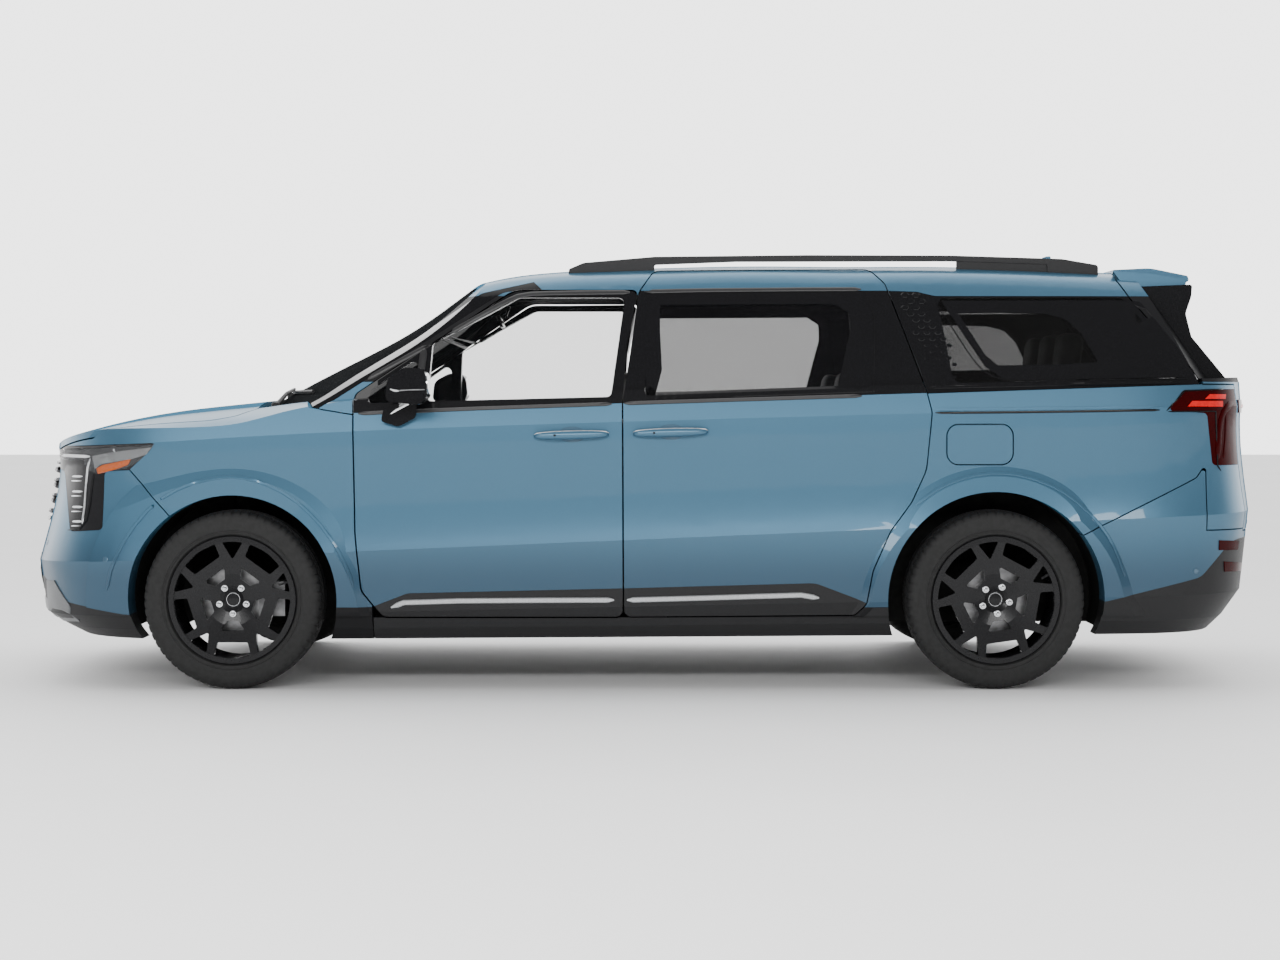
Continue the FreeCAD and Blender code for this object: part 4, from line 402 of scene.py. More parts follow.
def plate_mesh(outline, look, lift, sink, spacing, hole, soft):
    """A thin plate that follows the body inside an outline, maybe with a hole."""
    rings = [resampled(softened(outline, soft, True) if soft else outline, spacing, True)]
    if hole:
        rings.append(resampled(softened(hole, soft, True) if soft else hole, spacing, True))
    flat, edges = [], []
    for ring in rings:
        k = len(flat)
        flat += ring
        edges += [(k + i, k + (i + 1) % len(ring)) for i in range(len(ring))]
    rims = list(flat)
    us, vs = [p[0] for p in rings[0]], [p[1] for p in rings[0]]
    u = min(us) + spacing / 2
    while u < max(us):
        v = min(vs) + spacing / 2
        while v < max(vs):
            q = Vector((u, v))
            if inside(q, rings[0]) and not (hole and inside(q, rings[1])):
                if min((q - p).length for p in rims) > spacing * 0.45:
                    flat.append(q)
            v += spacing
        u += spacing
    verts2, _, tris = delaunay_2d_cdt([Vector(p) for p in flat], edges, [], 0, 1e-5)[:3]
    keep = []
    for t in tris:
        c = sum((verts2[i] for i in t), Vector((0, 0))) / len(t)
        if inside(c, rings[0]) and not (hole and inside(c, rings[1])):
            keep.append(tuple(t))
    hits = [look(*p) for p in verts2]
    n = len(hits)
    verts = [p + m * lift for p, m in hits] + [p - m * sink for p, m in hits]
    sides = {}
    for t in keep:
        for a, b in zip(t, t[1:] + t[:1]):
            sides[(a, b)] = sides.get((a, b), 0) + 1
    faces = list(keep) + [tuple(i + n for i in reversed(t)) for t in keep]
    faces += [(b, a, a + n, b + n) for a, b in sides if (b, a) not in sides]
    a, b, c = (verts[i] for i in keep[0][:3])
    if (b - a).cross(c - a).dot(hits[keep[0][0]][1]) < 0:
        faces = [tuple(reversed(f)) for f in faces]
    return verts, faces


def plate(name, outline, finish, body="body", look=photo, lift=0.002, sink=0.002, spacing=8.0, hole=None, soft=0,
        twin=True):
    """A thin plate on the body, and its twin on the right."""
    (pair if twin else piece)(name, plate_mesh(outline, look, lift, sink, spacing, hole, soft), finish, body)


def tube_mesh(points, radius, sides=10):
    """A round bar along points in space."""
    points = [Vector(p) for p in points]
    verts = []
    turns = [2 * math.pi * j / sides for j in range(sides)]
    reference = Vector((0, 0, 1))
    for i, p in enumerate(points):
        t = (points[min(i + 1, len(points) - 1)] - points[max(i - 1, 0)]).normalized()
        if abs(t.dot(reference)) > 0.95:
            reference = Vector((0, 1, 0))
        a = t.cross(reference).normalized()
        b = t.cross(a)
        r = radius(i / (len(points) - 1)) if callable(radius) else radius
        verts += [p + (a * math.cos(w) + b * math.sin(w)) * r for w in turns]
    return verts, ring_faces(len(points), sides)


def turned_mesh(profile, centre, axis, steps=40, relief=None):
    """Points (distance along the axis, radius) turned about an axis; relief(i, angle index) moves the radius."""
    axis = Vector(axis).normalized()
    a = axis.orthogonal().normalized()
    b = axis.cross(a)
    verts = []
    for i, (h, r) in enumerate(profile):
        for j in range(steps):
            w = 2 * math.pi * j / steps
            rr = r + (relief(i, j) if relief else 0)
            verts.append(Vector(centre) + axis * h + (a * math.cos(w) + b * math.sin(w)) * rr)
    return verts, ring_faces(len(profile), steps)


def merged(parts):
    """Several parts as one."""
    verts, faces = [], []
    for v, f in parts:
        k = len(verts)
        verts += list(v)
        faces += [tuple(i + k for i in q) for q in f]
    return verts, faces


def cushion_mesh(size, power, grid, seams=(), depth=0.006):
    """A stuffed block round the origin; seams are (axis, place, along axis) grooves."""
    half = [s / 2 for s in size]
    verts, faces, index = [], [], {}

    def corner(p):
        key = tuple(round(c, 6) for c in p)
        if key not in index:
            q = sum(abs(c) ** power for c in p) ** (1 / power)
            out = [c / q * h for c, h in zip(p, half)]
            for a, at, face in seams:
                if abs(p[face]) > 0.999:
                    out[face] -= math.copysign(depth * math.exp(-((p[a] - at) * half[a] / SEAM_WIDTH) ** 2),
                        p[face])
            index[key] = len(verts)
            verts.append(Vector(out))
        return index[key]

    for axis in range(3):
        for sign in (-1, 1):
            for i in range(grid):
                for j in range(grid):
                    quad = []
                    for di, dj in ((0, 0), (1, 0), (1, 1), (0, 1)):
                        p = [0, 0, 0]
                        p[axis] = sign
                        p[(axis + 1) % 3] = -1 + 2 * (i + di) / grid
                        p[(axis + 2) % 3] = -1 + 2 * (j + dj) / grid
                        quad.append(corner(p))
                    faces.append(tuple(quad if sign > 0 else reversed(quad)))
    return verts, faces


def placed(part, matrix):
    """A part moved by a matrix."""
    verts, faces = part
    return [matrix @ Vector(v) for v in verts], faces


def at(x, y, z, tilt=0.0):
    """A place, tilted back by some degrees."""
    return Matrix.Translation((x, y, z)) @ Matrix.Rotation(math.radians(tilt), 4, "Y")


# Wheels
WHEEL_Y, WHEEL_Z, TREAD_STEPS = 0.860, 0.362, 320
NUT_CIRCLE, PAD_CIRCLE, VALVE_CIRCLE, VALVE_Y = 0.05715, 0.078, 0.232, 0.962
# Outlines of a wheel nut and its foot, as distance along the axis and radius
NUT = [(-0.004, 0.0088), (0.010, 0.0088), (0.0128, 0.0072), (0.0134, 0.003)]
NUT_FOOT = [(-0.004, 0.0135), (0.001, 0.0135), (0.002, 0.0118), (0.002, 0.009)]


def tyre_mesh(centre, side):
    """A tyre with four grooves round it, shoulder slots and raised sidewall rings."""
    half = [(0.1175, 0.288), (0.1176, 0.300), (0.1168, 0.312), (0.1172, 0.314), (0.1160, 0.326), (0.1130, 0.338),
        (0.1070, 0.348), (0.0990, 0.3545), (0.0880, 0.3580), (0.0760, 0.3598), (0.0635, 0.3604), (0.0630, 0.3535),
        (0.0535, 0.3537), (0.0530, 0.3608), (0.0300, 0.3614), (0.0295, 0.3540), (0.0195, 0.3540),
        (0.0190, 0.3616)]
    wall = [(0.0985, 0.2463), (0.1000, 0.2600), (0.1090, 0.2660), (0.1120, 0.2665), (0.1150, 0.2760),
        (0.1165, 0.2775), (0.1165, 0.2800), (0.1150, 0.2815), (0.1170, 0.2850)]
    profile = [(-y, r) for y, r in wall + half] + [(y, r) for y, r in reversed(wall + half)]
    first, last = len(wall) + 5, len(wall) + 9
    count = len(profile)

    def relief(i, j):
        k = i if i < count // 2 else count - 1 - i
        shift = 2 if i >= count // 2 else 0
        if first <= k <= last and (j + shift) % 5 == 0:
            return -0.0045 if k > first else -0.0025
        if k in (last + 4, last + 5) and (j + shift) % 5 == 2:
            return -0.003
        return 0.0

    verts, faces = turned_mesh(profile, centre, (0, 1, 0), TREAD_STEPS, relief)
    return verts, faces[:-2]


def hub_details(name, x, side):
    """Wheel nuts, a centre cap with a bright ring, and a valve."""
    w = "wheel_" + name
    tree = tree_of(["rim_" + name])
    turn = 54 if "front" in name else 62
    out = (0, side, 0)

    def depth(dx, dz):
        """How far out the rim's face lies at a place from the hub."""
        return cast(tree, Vector((x + dx, side * 2, WHEEL_Z + dz)), Vector((0, -side, 0)))[0].y

    spoke = math.radians(turn + 36)
    pad = depth(PAD_CIRCLE * math.cos(spoke), PAD_CIRCLE * math.sin(spoke))
    parts = []
    for k in range(5):
        a = math.radians(turn + 72 * k) if side < 0 else math.radians(180 - turn - 72 * k)
        c = Vector((x + NUT_CIRCLE * math.cos(a), pad - side * 0.002, WHEEL_Z + NUT_CIRCLE * math.sin(a)))
        parts += [turned_mesh(NUT, c, out, 6), turned_mesh(NUT_FOOT, c, out, 24)]
    piece("wheel_nuts_" + name, merged(parts), CHROME, w, 30)
    hub = depth(0.0, 0.0)
    cap = [(-0.002, 0.034), (0.004, 0.034), (0.0065, 0.0325), (0.0065, 0.030), (0.0045, 0.029), (0.0055, 0.020),
        (0.0065, 0.010), (0.0068, 0.002)]
    piece("wheel_cap_" + name, turned_mesh(cap, (x, hub, WHEEL_Z), out, 48), RIM, w)
    verts, faces = turned_mesh([(0.0, 0.0255), (0.0012, 0.0262), (0.0012, 0.0272), (0.0, 0.0279)],
        (x, hub + side * 0.0045, WHEEL_Z), out, 48)
    piece("wheel_cap_ring_" + name, (verts, faces[:-2]), CHROME, w)
    a = math.radians(turn - 36)
    p = Vector((x + VALVE_CIRCLE * math.cos(a), side * VALVE_Y, WHEEL_Z + VALVE_CIRCLE * math.sin(a)))
    inward = Vector((-math.cos(a), side * 0.6, -math.sin(a))).normalized()
    valve = tube_mesh([p, p + inward * 0.012, p + inward * 0.013, p + inward * 0.034, p + inward * 0.036],
        lambda t: 0.006 if t < 0.3 else (0.0045 if t < 0.9 else 0.003), 12)
    piece("valve_" + name, valve, BLACK_TRIM, w)


for name, (x, side) in WHEELS.items():
    tyre = piece("tyre_tread_" + name, tyre_mesh((x, side * WHEEL_Y, WHEEL_Z), side), RUBBER, "wheel_" + name, 28)
    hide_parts("tyre_" + name)
    hub_details(name, x, side)

# Side trims, traced over the photograph
strip("belt_trim_front", [(358, 413.7), (420, 411), (480, 408.5), (612, 404)], 0.016, 0.004, SATIN_BLACK,
    "front_door_left")
strip("belt_trim_middle", [(624, 403.5), (700, 401), (862, 396)], 0.016, 0.004, SATIN_BLACK)
strip("belt_trim_rear", [(930, 387.5), (1000, 386), (1100, 384), (1180, 383)], 0.012, 0.003, BLACK_GLOSS)
strip("roof_trim_front", [(368, 379), (400, 361), (432, 343.5), (477, 317.5), (505, 302), (522, 294.3),
    (560, 293), (630, 292.3)], 0.020, 0.004, SATIN_BLACK, "front_door_left", soft=1)
strip("roof_trim_middle", [(640, 291.8), (700, 290.4), (800, 289.5), (861, 289.3)], 0.018, 0.004, SATIN_BLACK)
strip("door_post_line", [(864.5, 291), (868.4, 302.3), (873.5, 314), (875, 324), (874.2, 350.8), (873.7, 392)],
    0.005, 0.003, DARK_CHROME, soft=1)
strip("quarter_glass_line", [(936, 303), (964.6, 347.2), (977, 364.5), (985, 372.5), (998.6, 379.2),
    (1016.9, 380.6), (1100, 380), (1190, 378.6)], 0.0035, 0.003, DARK_CHROME, soft=1)
# A black band painted as the shadow in the sliding door's rail slot
strip("slide_rail_shadow", [(935, 412.8), (1000, 412.4), (1080, 411.4), (1160, 410)], 0.010, 0.0016, BLACK_GLOSS)
strip("slide_rail_lip", [(935, 409.6), (1000, 409.2), (1080, 408.2), (1163, 406.8)], 0.012, 0.004, PAINT)
strip("silver_line_front", [(391, 607.5), (404, 602.5), (460, 600.8), (540, 600.2), (614, 600)], 0.022, 0.006,
    SATIN, "front_door_left")
strip("silver_line_middle", [(627, 600), (700, 598), (801, 595), (819, 598)], 0.022, 0.006, SATIN)
strip("quarter_post", [(424.5, 347), (421, 372), (418.5, 404)], 0.030, 0.006, BLACK_TRIM, "front_door_left")

# Hexagon relief on the rear door pillar, in rows over the photograph's pixels
HEX_U, HEX_V, HEX_STEP_U, HEX_STEP_V = 894, 295, 11.0, 6.3
cells = []
outline = [(896, 292), (917, 292), (933, 318), (962, 366), (952, 384), (938, 384), (922, 352)]
for row in range(16):
    for col in range(12):
        u, v = HEX_U + (col + row % 2 / 2) * HEX_STEP_U, HEX_V + row * HEX_STEP_V
        if not inside((u, v), outline):
            continue
        fade = 1 - 0.55 * (v - 292) / 92
        ring = [(u + 5.1 * fade * math.cos(math.radians(a)),
            v + 3.3 * fade * math.sin(math.radians(a))) for a in range(0, 360, 60)]
        hits = [photo(*q) for q in ring]
        mid, n = photo(u, v)
        verts = [p - m * 0.001 for p, m in hits] + [p.lerp(mid, 0.25) + m * 0.0022 for p, m in hits]
        faces = [(i, (i + 1) % 6, (i + 1) % 6 + 6, i + 6) for i in range(6)] + [tuple(range(6, 12))]
        cells.append((verts, faces))
pair("pillar_hexagons", merged(cells), BLACK_GLOSS, "body", 20)

# Dark borders printed on the side glass
plate("quarter_glass_border", [(941, 301), (1120, 300.5), (1140, 302), (1176, 345), (1197, 377), (1030, 380),
    (1003, 379), (985, 366)], BLACK_GLOSS, lift=0.0012, sink=0.0030, spacing=9.0, hole=[(958, 313), (1000, 312.5),
    (1045, 314), (1065, 319), (1080, 332), (1098, 362), (1060, 364.5), (998, 365.5), (985, 355)])
plate("slide_glass_border", [(646, 294), (864, 292), (872, 310), (874, 340), (873, 392), (646, 400)], BLACK_GLOSS,
    lift=0.0012, sink=0.0030, spacing=9.0, hole=[(660, 305), (834, 304), (848, 312), (850, 330), (838, 386),
    (700, 391), (656, 392), (662, 370), (660, 330)])

# Raised creases of the wheel-arch flares
strip("arch_line_front", [(106.6, 591), (112, 565), (129.5, 531.5), (154, 503), (184, 485.5), (214, 478),
    (236.5, 476.7), (261, 481.7), (291, 496.6), (316, 519), (336, 546), (348.4, 571), (353.4, 587.4)], 0.013,
    0.005, PAINT, soft=1)
strip("arch_line_rear", [(916, 505), (941.6, 486), (969.7, 475.8), (997.8, 472.5), (1025.8, 475.8), (1059, 488.5),
    (1084.5, 507.7), (1105, 530.6), (1117.7, 553.6), (1125, 576.5)], 0.013, 0.005, PAINT, soft=1)


def slab(outline, y0, y1):
    """A block whose side outline is given in pixels of the photograph, between two planes."""
    verts = []
    for y in (y0, y1):
        scale = PIXEL * (y - CAMERA_AT.y) / (SIDE_PLANE_Y - CAMERA_AT.y)
        verts += [Vector(((u - AXIS_U) * scale, y, CAMERA_AT.z - (v - AXIS_V) * scale)) for u, v in outline]
    k = len(outline)
    faces = [tuple(range(k)), tuple(reversed(range(k, 2 * k)))]
    faces += [(i, i + k, (i + 1) % k + k, (i + 1) % k) for i in range(k)]
    return verts, faces


pair("spoiler_cheek", slab([(1113, 271), (1150, 273.5), (1184, 279), (1186, 283), (1185, 287), (1160, 291.5),
    (1136, 296.5), (1128, 292)], -0.700, -0.612), PAINT, "tailgate", 20)
pair("gate_fin_foot", slab([(1160, 292), (1176, 318), (1226, 378.6), (1205, 380.5), (1185, 350), (1168, 325)],
    -0.719, -0.614), BLACK_GLOSS, "tailgate", 20)
rail_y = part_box("roof_rails")[0].y + 0.017
pair("rail_foot", slab([(956, 259), (1052, 260), (1052, 275), (1000, 273), (956, 271.5)], rail_y - 0.010,
    rail_y + 0.010), BLACK_TRIM, "body", 20)

# Door handles
HANDLE_PIXELS, HANDLE_STEPS, HANDLE_SIDES = 75, 24, 10


def handle(name, u, body="body"):
    """A handle bar with a bright top line over a shallow thumb pocket."""
    v = 0 if u > 600 else 2.5
    turns = [math.pi * k / 12 for k in range(24)]
    cup_outer = [(u + 38 + 17 * math.cos(t), 431.5 + v + 10.5 * math.sin(t)) for t in turns]
    cup_inner = [(u + 38 + 14 * math.cos(t), 432 + v + 8 * math.sin(t)) for t in turns]
    plate(name + "_pocket_lip", cup_outer, PAINT, body, lift=0.0022, spacing=5.0, hole=cup_inner)
    # The pocket's darker paint is painted shade in the recess
    plate(name + "_pocket", cup_inner, PAINT_SHADED, body, lift=0.0010, spacing=5.0)
    line = []
    for k in range(HANDLE_STEPS + 1):
        t = k / HANDLE_STEPS
        p, n = photo(u + HANDLE_PIXELS * t, 433.5 + v - 2 * t)
        line.append((p, n, math.sin(math.pi * t) ** 0.35 if 0 < t < 1 else 0))
    verts = []
    for i, (p, n, bow) in enumerate(line):
        t = (line[min(i + 1, HANDLE_STEPS)][0] - line[max(i - 1, 0)][0]).normalized()
        up = n.cross(t).normalized()
        if up.z < 0:
            up = -up
        half, deep = 0.008 + 0.014 * bow, 0.006 + 0.012 * bow
        for j in range(HANDLE_SIDES):
            w = 2 * math.pi * j / HANDLE_SIDES
            rise = half * math.sin(w) * (1.0 if math.sin(w) > 0 else 0.85)
            verts.append(p + n * (0.008 + 0.020 * bow + deep * math.cos(w)) + up * rise)
    pair(name, (verts, ring_faces(len(line), HANDLE_SIDES)), PAINT, body, 50)
    bright = [(p + n * (0.012 + 0.024 * bow) + Vector((0, 0, 0.013 * bow + 0.004)), n) for p, n, bow in line]
    pair(name + "_bright_line", strip_mesh(bright, 0.005, 0.003, 0.003), CHROME, body)
    p, n = photo(u + 21, 432.7 + v)
    verts, faces = cushion_mesh((0.010, 0.006, 0.008), 6, 4)
    pair(name + "_sensor", ([q + p + n * 0.044 for q in verts], faces), BLACK_GLOSS, body)


handle("door_handle_front", 534, "front_door_left")
handle("door_handle_rear", 633)

# Headlamps
plate("headlamp_glass_upper", [(50, 450), (60, 449), (110, 446), (155, 443.5), (152, 448), (138, 462), (127, 468),
    (99, 474), (88, 470), (84, 460), (50, 459)], LENS, lift=0.0042, sink=-0.0022, spacing=7.0)
plate("headlamp_reflector", [(92.7, 456.5), (109.3, 452.7), (151, 447.4), (147, 454), (132.2, 459), (101.6, 464),
    (95, 469)], LAMP_SILVER, lift=0.0020, spacing=6.0)
strip("headlamp_day_strip", [(49.5, 454.6), (68, 455.6), (90, 456.6)], 0.012, 0.0035, LAMP_WHITE, spacing=4)
strip("headlamp_upper_edge", [(50, 449.8), (100, 447.4), (154, 443.9)], 0.010, 0.0038, BLACK_GLOSS, spacing=5)
plate("headlamp_amber", [(97, 468.5), (103, 465), (131, 459.2), (128, 465), (117, 469), (98.5, 474)], AMBER,
    lift=0.0034, spacing=5.0)
strip("headlamp_chrome_drop", [(90.5, 458.5), (88, 468), (86.8, 482), (85, 507.5), (82.5, 524)], 0.011, 0.005,
    CHROME, spacing=4)
for k, v in enumerate((476.4, 491.5, 507.0, 521.5)):
    strip("headlamp_led_%d" % k, [(72.5, v), (77, v), (82.5, v)], 0.010, 0.006, LAMP_WHITE, spacing=3)
    strip("headlamp_led_frame_%d" % k, [(71.5, v + 4.5), (77, v + 4.5), (82, v + 4.5)], 0.006, 0.004, CHROME,
        spacing=3)
strip("headlamp_bezel_rear", [(94, 474), (92, 487), (90.5, 503), (87, 520), (80, 529), (68, 530)], 0.008, 0.005,
    BLACK_GLOSS, spacing=4)

# Grille, intake and nose
FIN_CELLS = 16
fins = []
for k, z in enumerate((0.868, 0.835, 0.802, 0.769, 0.736, 0.703)):
    half = 0.515 - 0.012 * k
    for i in range(FIN_CELLS):
        y0, y1 = -half + 2 * half * i / FIN_CELLS, -half + 2 * half * (i + 1) / FIN_CELLS
        path = [(y0 + 0.004, z), ((y0 + y1) / 2, z + 0.006 * (-1) ** k), (y1 - 0.004, z)]
        hits = [front(*q) for q in path]
        hits = [(p, (n + Vector((-1, 0, 0.4))).normalized()) for p, n in hits]
        fins.append(strip_mesh(hits, 0.020, 0.020, 0.006, 0.6))
piece("grille_fins", merged(fins), DARK_CHROME)
strip("grille_upper_bar", [(-0.53, 0.905), (-0.3, 0.918), (0, 0.922), (0.3, 0.918), (0.53, 0.905)], 0.016, 0.012,
    DARK_CHROME, look=front, spacing=0.04, soft=1, twin=False)
strip("grille_lower_bar", [(-0.48, 0.668), (0, 0.660), (0.48, 0.668)], 0.020, 0.014, DARK_CHROME, look=front,
    spacing=0.04, twin=False)
badge = turned_mesh([(-0.004, 0.048), (0.008, 0.048), (0.012, 0.044), (0.012, 0.036), (0.009, 0.034),
    (0.009, 0.002)], (0, 0, 0), (1, 0, 0), 40)
p, n = front(0, 0.95)
turn = n.to_track_quat("X", "Z").to_matrix().to_4x4()
squash = Matrix.Translation(p + n * 0.001) @ turn @ Matrix.Diagonal((1, 1.35, 0.62, 1))
piece("nose_badge", placed(badge, squash), DARK_CHROME)
mesh_bars = []
for k in range(7):
    z = 0.385 + 0.022 * k
    mesh_bars.append(strip_mesh([front(y, z) for y in (-0.50, -0.3, -0.1, 0.1, 0.3, 0.50)], 0.006, 0.006, 0.002))
for k in range(25):
    y = -0.48 + 0.04 * k
    mesh_bars.append(strip_mesh([front(y + 0.006 * math.sin(z * 60), z) for z in (0.380, 0.42, 0.46, 0.52)],
        0.006, 0.006, 0.002))
plate("intake", [(-0.52, 0.375), (0.52, 0.375), (0.56, 0.53), (-0.56, 0.53)], BLACK_GLOSS, look=front, lift=0.002,
    spacing=0.05, twin=False)
piece("intake_mesh", merged(mesh_bars), BLACK_TRIM)
plate("skid_corner", [(-0.62, 0.250), (-0.78, 0.262), (-0.80, 0.330), (-0.74, 0.425), (-0.66, 0.420),
    (-0.62, 0.330)], GREY, look=front, lift=0.005, spacing=0.04)
plate("skid_middle", [(-0.62, 0.265), (0.62, 0.265), (0.66, 0.34), (-0.66, 0.34)], GREY, look=front, lift=0.005,
    spacing=0.06, twin=False)
plate("front_plate", [(-0.152, 0.565), (0.152, 0.565), (0.152, 0.640), (-0.152, 0.640)], BLACK_TRIM, look=front,
    lift=0.006, spacing=0.04, twin=False)


SENSOR_RADIUS = 0.011


def sensor(name, hit):
    """A small round parking sensor set in the panel, with a ring round it, and its twin."""
    p, n = hit
    r = SENSOR_RADIUS
    ring = turned_mesh([(-0.002, r), (0.0012, r), (0.0018, r * 0.86), (0.0008, r * 0.80)], p, n, 24)
    disc = turned_mesh([(-0.001, r * 0.78), (0.0010, r * 0.76), (0.0014, r * 0.4), (0.0014, 0.0005)], p, n, 24)
    # The ring and disc take the darker copy of the paint, as painted shade
    pair(name, merged([ring, disc]), PAINT_SHADED)


sensor("sensor_front_side", photo(105.5, 559.3))
sensor("sensor_rear_side", photo(1196, 571))
for k, y in enumerate((0.30, 0.62)):
    sensor("sensor_front_%d" % k, front(-y, 0.575))
    sensor("sensor_rear_%d" % k, rear(-y, 0.66))

# Tail lamps and the tail
plate("tail_bar_upper", [(1204.7, 399), (1209.5, 394.3), (1225.5, 394.3), (1225, 399)], LAMP_GLOW, lift=0.003,
    spacing=4.0)
plate("tail_bar_side", [(1187.5, 406.6), (1192, 401), (1222.5, 401), (1222.5, 406.6)], LAMP_GLOW, lift=0.003,
    spacing=4.0)
strip("tail_bar_drop", [(1226, 403), (1226, 420), (1225.3, 440), (1223.5, 458)], 0.014, 0.004, RED, spacing=4)
strip("tail_lamp_edge", [(1166.5, 411), (1184.5, 391), (1210, 389.7), (1234, 389)], 0.006, 0.004, BLACK_GLOSS,
    spacing=4)
strip("tail_lamp_foot", [(1168, 411.6), (1196, 411.4), (1215.5, 411.2), (1216.5, 440), (1217.5, 466),
    (1221, 471)], 0.006, 0.004, BLACK_GLOSS, spacing=4)

plate("tail_light_bar", [(-0.735, 1.118), (0.735, 1.118), (0.745, 1.172), (-0.745, 1.172)], RED, "tailgate",
    look=rear, lift=0.006, spacing=0.06, twin=False)
strip("tail_light_line", [(-0.72, 1.146), (-0.36, 1.148), (0, 1.149), (0.36, 1.148), (0.72, 1.146)], 0.016, 0.010,
    LAMP_GLOW, "tailgate", look=rear, spacing=0.05, twin=False)
strip("tail_lamp_rear", [(-0.80, 1.16), (-0.84, 1.15), (-0.87, 1.11), (-0.88, 1.02), (-0.885, 0.93)], 0.030,
    0.005, RED, look=rear, spacing=0.03, soft=1)
plate("rear_reflector", [(-0.86, 0.470), (-0.70, 0.462), (-0.70, 0.495), (-0.87, 0.512)], RED, look=rear,
    lift=0.004, spacing=0.03)
plate("corner_reflector", [(-0.895, 0.560), (-0.800, 0.556), (-0.800, 0.592), (-0.900, 0.600)], RED, look=rear,
    lift=0.004, spacing=0.03)
plate("rear_skid", [(-0.50, 0.300), (0.50, 0.300), (0.54, 0.375), (-0.54, 0.375)], GREY, look=rear, lift=0.004,
    spacing=0.05, twin=False)
plate("rear_plate", [(-0.152, 0.885), (0.152, 0.885), (0.152, 1.037), (-0.152, 1.037)], LAMP_SILVER, "tailgate",
    look=rear, lift=0.003, spacing=0.04, twin=False)
strip("gate_handle", [(-0.16, 0.862), (0, 0.858), (0.16, 0.862)], 0.030, 0.016, BLACK_GLOSS, "tailgate",
    look=rear, spacing=0.03, twin=False)
strip("gate_garnish", [(-0.40, 1.052), (-0.2, 1.060), (0, 1.062), (0.2, 1.060), (0.40, 1.052)], 0.018, 0.010,
    DARK_CHROME, "tailgate", look=rear, spacing=0.04, twin=False)
strip("high_brake_lamp", [(-0.16, 1.652), (0, 1.654), (0.16, 1.652)], 0.016, 0.005, RED, "tailgate", look=rear,
    spacing=0.03, twin=False)

# Wipers; the foot of either glass bows by a power of the distance from the middle
GLASS_HALF_WIDTH, BOW_POWER = 0.8, 2.3
WIND_FOOT_X, WIND_BOW, BLADE_SETBACK = -1.555, 0.232, 0.035


def bow(y):
    """The share of its bow that a glass has at a distance from the middle."""
    return (abs(y) / GLASS_HALF_WIDTH) ** BOW_POWER


def blade_x(y):
    """How far forward a resting blade lies."""
    return WIND_FOOT_X + WIND_BOW * bow(y) + BLADE_SETBACK


def over(points, height):
    """Points at given heights over what lies below them."""
    return [top(x, y)[0] + Vector((0, 0, h)) for (x, y), h in zip(points, height)]


# Each wiper's places across the glass, and its arm's from the pivot
WIPERS = (((-0.68, -0.54, -0.40, -0.26, -0.12, 0.00), [(-1.530, -0.60), (-1.500, -0.48), (blade_x(-0.34),
    -0.34)]), ((0.06, 0.20, 0.34, 0.48, 0.62), [(-1.565, 0.08), (-1.545, 0.20), (blade_x(0.34), 0.34)]))
for k, (places, elbow) in enumerate(WIPERS):
    b = over([(blade_x(y), y) for y in places], [0.012] * len(places))
    a = over(elbow, (0.018, 0.032, 0.024))
    hinge = turned_mesh([(-0.03, 0.017), (0.010, 0.017), (0.016, 0.013), (0.017, 0.002)], a[0], (0, 0, 1), 20)
    piece("wiper_arm_%d" % k, merged([tube_mesh(resampled(a, 0.03), lambda t: 0.011 - 0.005 * t), hinge]),
        BLACK_TRIM)
    edge = [p - Vector((0, 0, 0.006)) for p in resampled(b, 0.04)]
    piece("wiper_blade_%d" % k, merged([tube_mesh(resampled(b, 0.04), 0.007), tube_mesh(edge, 0.004)]),
        BLACK_TRIM)

# Foot of the rear glass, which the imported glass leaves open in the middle:
# rows of its surface as height, place of the middle and bow
GLASS_ROWS = [(1.2316, 2.5079, 0.1804), (1.3762, 2.3945, 0.1598), (1.5260, 2.2785, 0.1443)]
GLASS_END_X, GLASS_FOOT_Z = 2.3712, 1.2515


def gate_glass(y, z):
    """The outer surface of the rear glass."""
    (z0, x0, b0), (z1, x1, b1) = GLASS_ROWS[:2] if z < GLASS_ROWS[1][0] else GLASS_ROWS[1:]
    t = (z - z0) / (z1 - z0)
    return Vector((x0 + (x1 - x0) * t - (b0 + (b1 - b0) * t) * bow(y), y, z))


def glass_end(y):
    """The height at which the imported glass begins."""
    low, high = GLASS_FOOT_Z, 1.5
    for turn in range(30):
        middle = (low + high) / 2
        low, high = (middle, high) if gate_glass(y, middle).x > GLASS_END_X else (low, middle)
    return low


verts, faces = [], []
columns, rows = [-0.664 + 0.0415 * k for k in range(33)], 6
for y in columns:
    for r in range(rows):
        p = gate_glass(y, GLASS_FOOT_Z + (glass_end(y) - GLASS_FOOT_Z) * r / (rows - 1))
        verts += [p, p - Vector((0.0045, 0, 0.0030))]
for c in range(len(columns) - 1):
    for r in range(rows - 1):
        a, b = 2 * (c * rows + r), 2 * ((c + 1) * rows + r)
        faces += [(a, b, b + 2, a + 2), (a + 1, a + 3, b + 3, b + 1)]
    a, b = 2 * c * rows, 2 * (c + 1) * rows
    t, u = a + 2 * rows - 2, b + 2 * rows - 2
    faces += [(a, a + 1, b + 1, b), (t, u, u + 1, t + 1)]
for c in (0, len(columns) - 1):
    for r in range(rows - 1):
        a = 2 * (c * rows + r)
        faces.append((a, a + 2, a + 3, a + 1) if c == 0 else (a, a + 1, a + 3, a + 2))
piece("rear_glass_foot", (verts, faces), GLASS_REAR, "tailgate", 40)
base = gate_glass(0.0, 1.285)
tip = [gate_glass(y, z) + Vector((0.016, 0, 0)) for y, z in ((0.0, 1.285), (0.15, 1.297), (0.32, 1.308))]
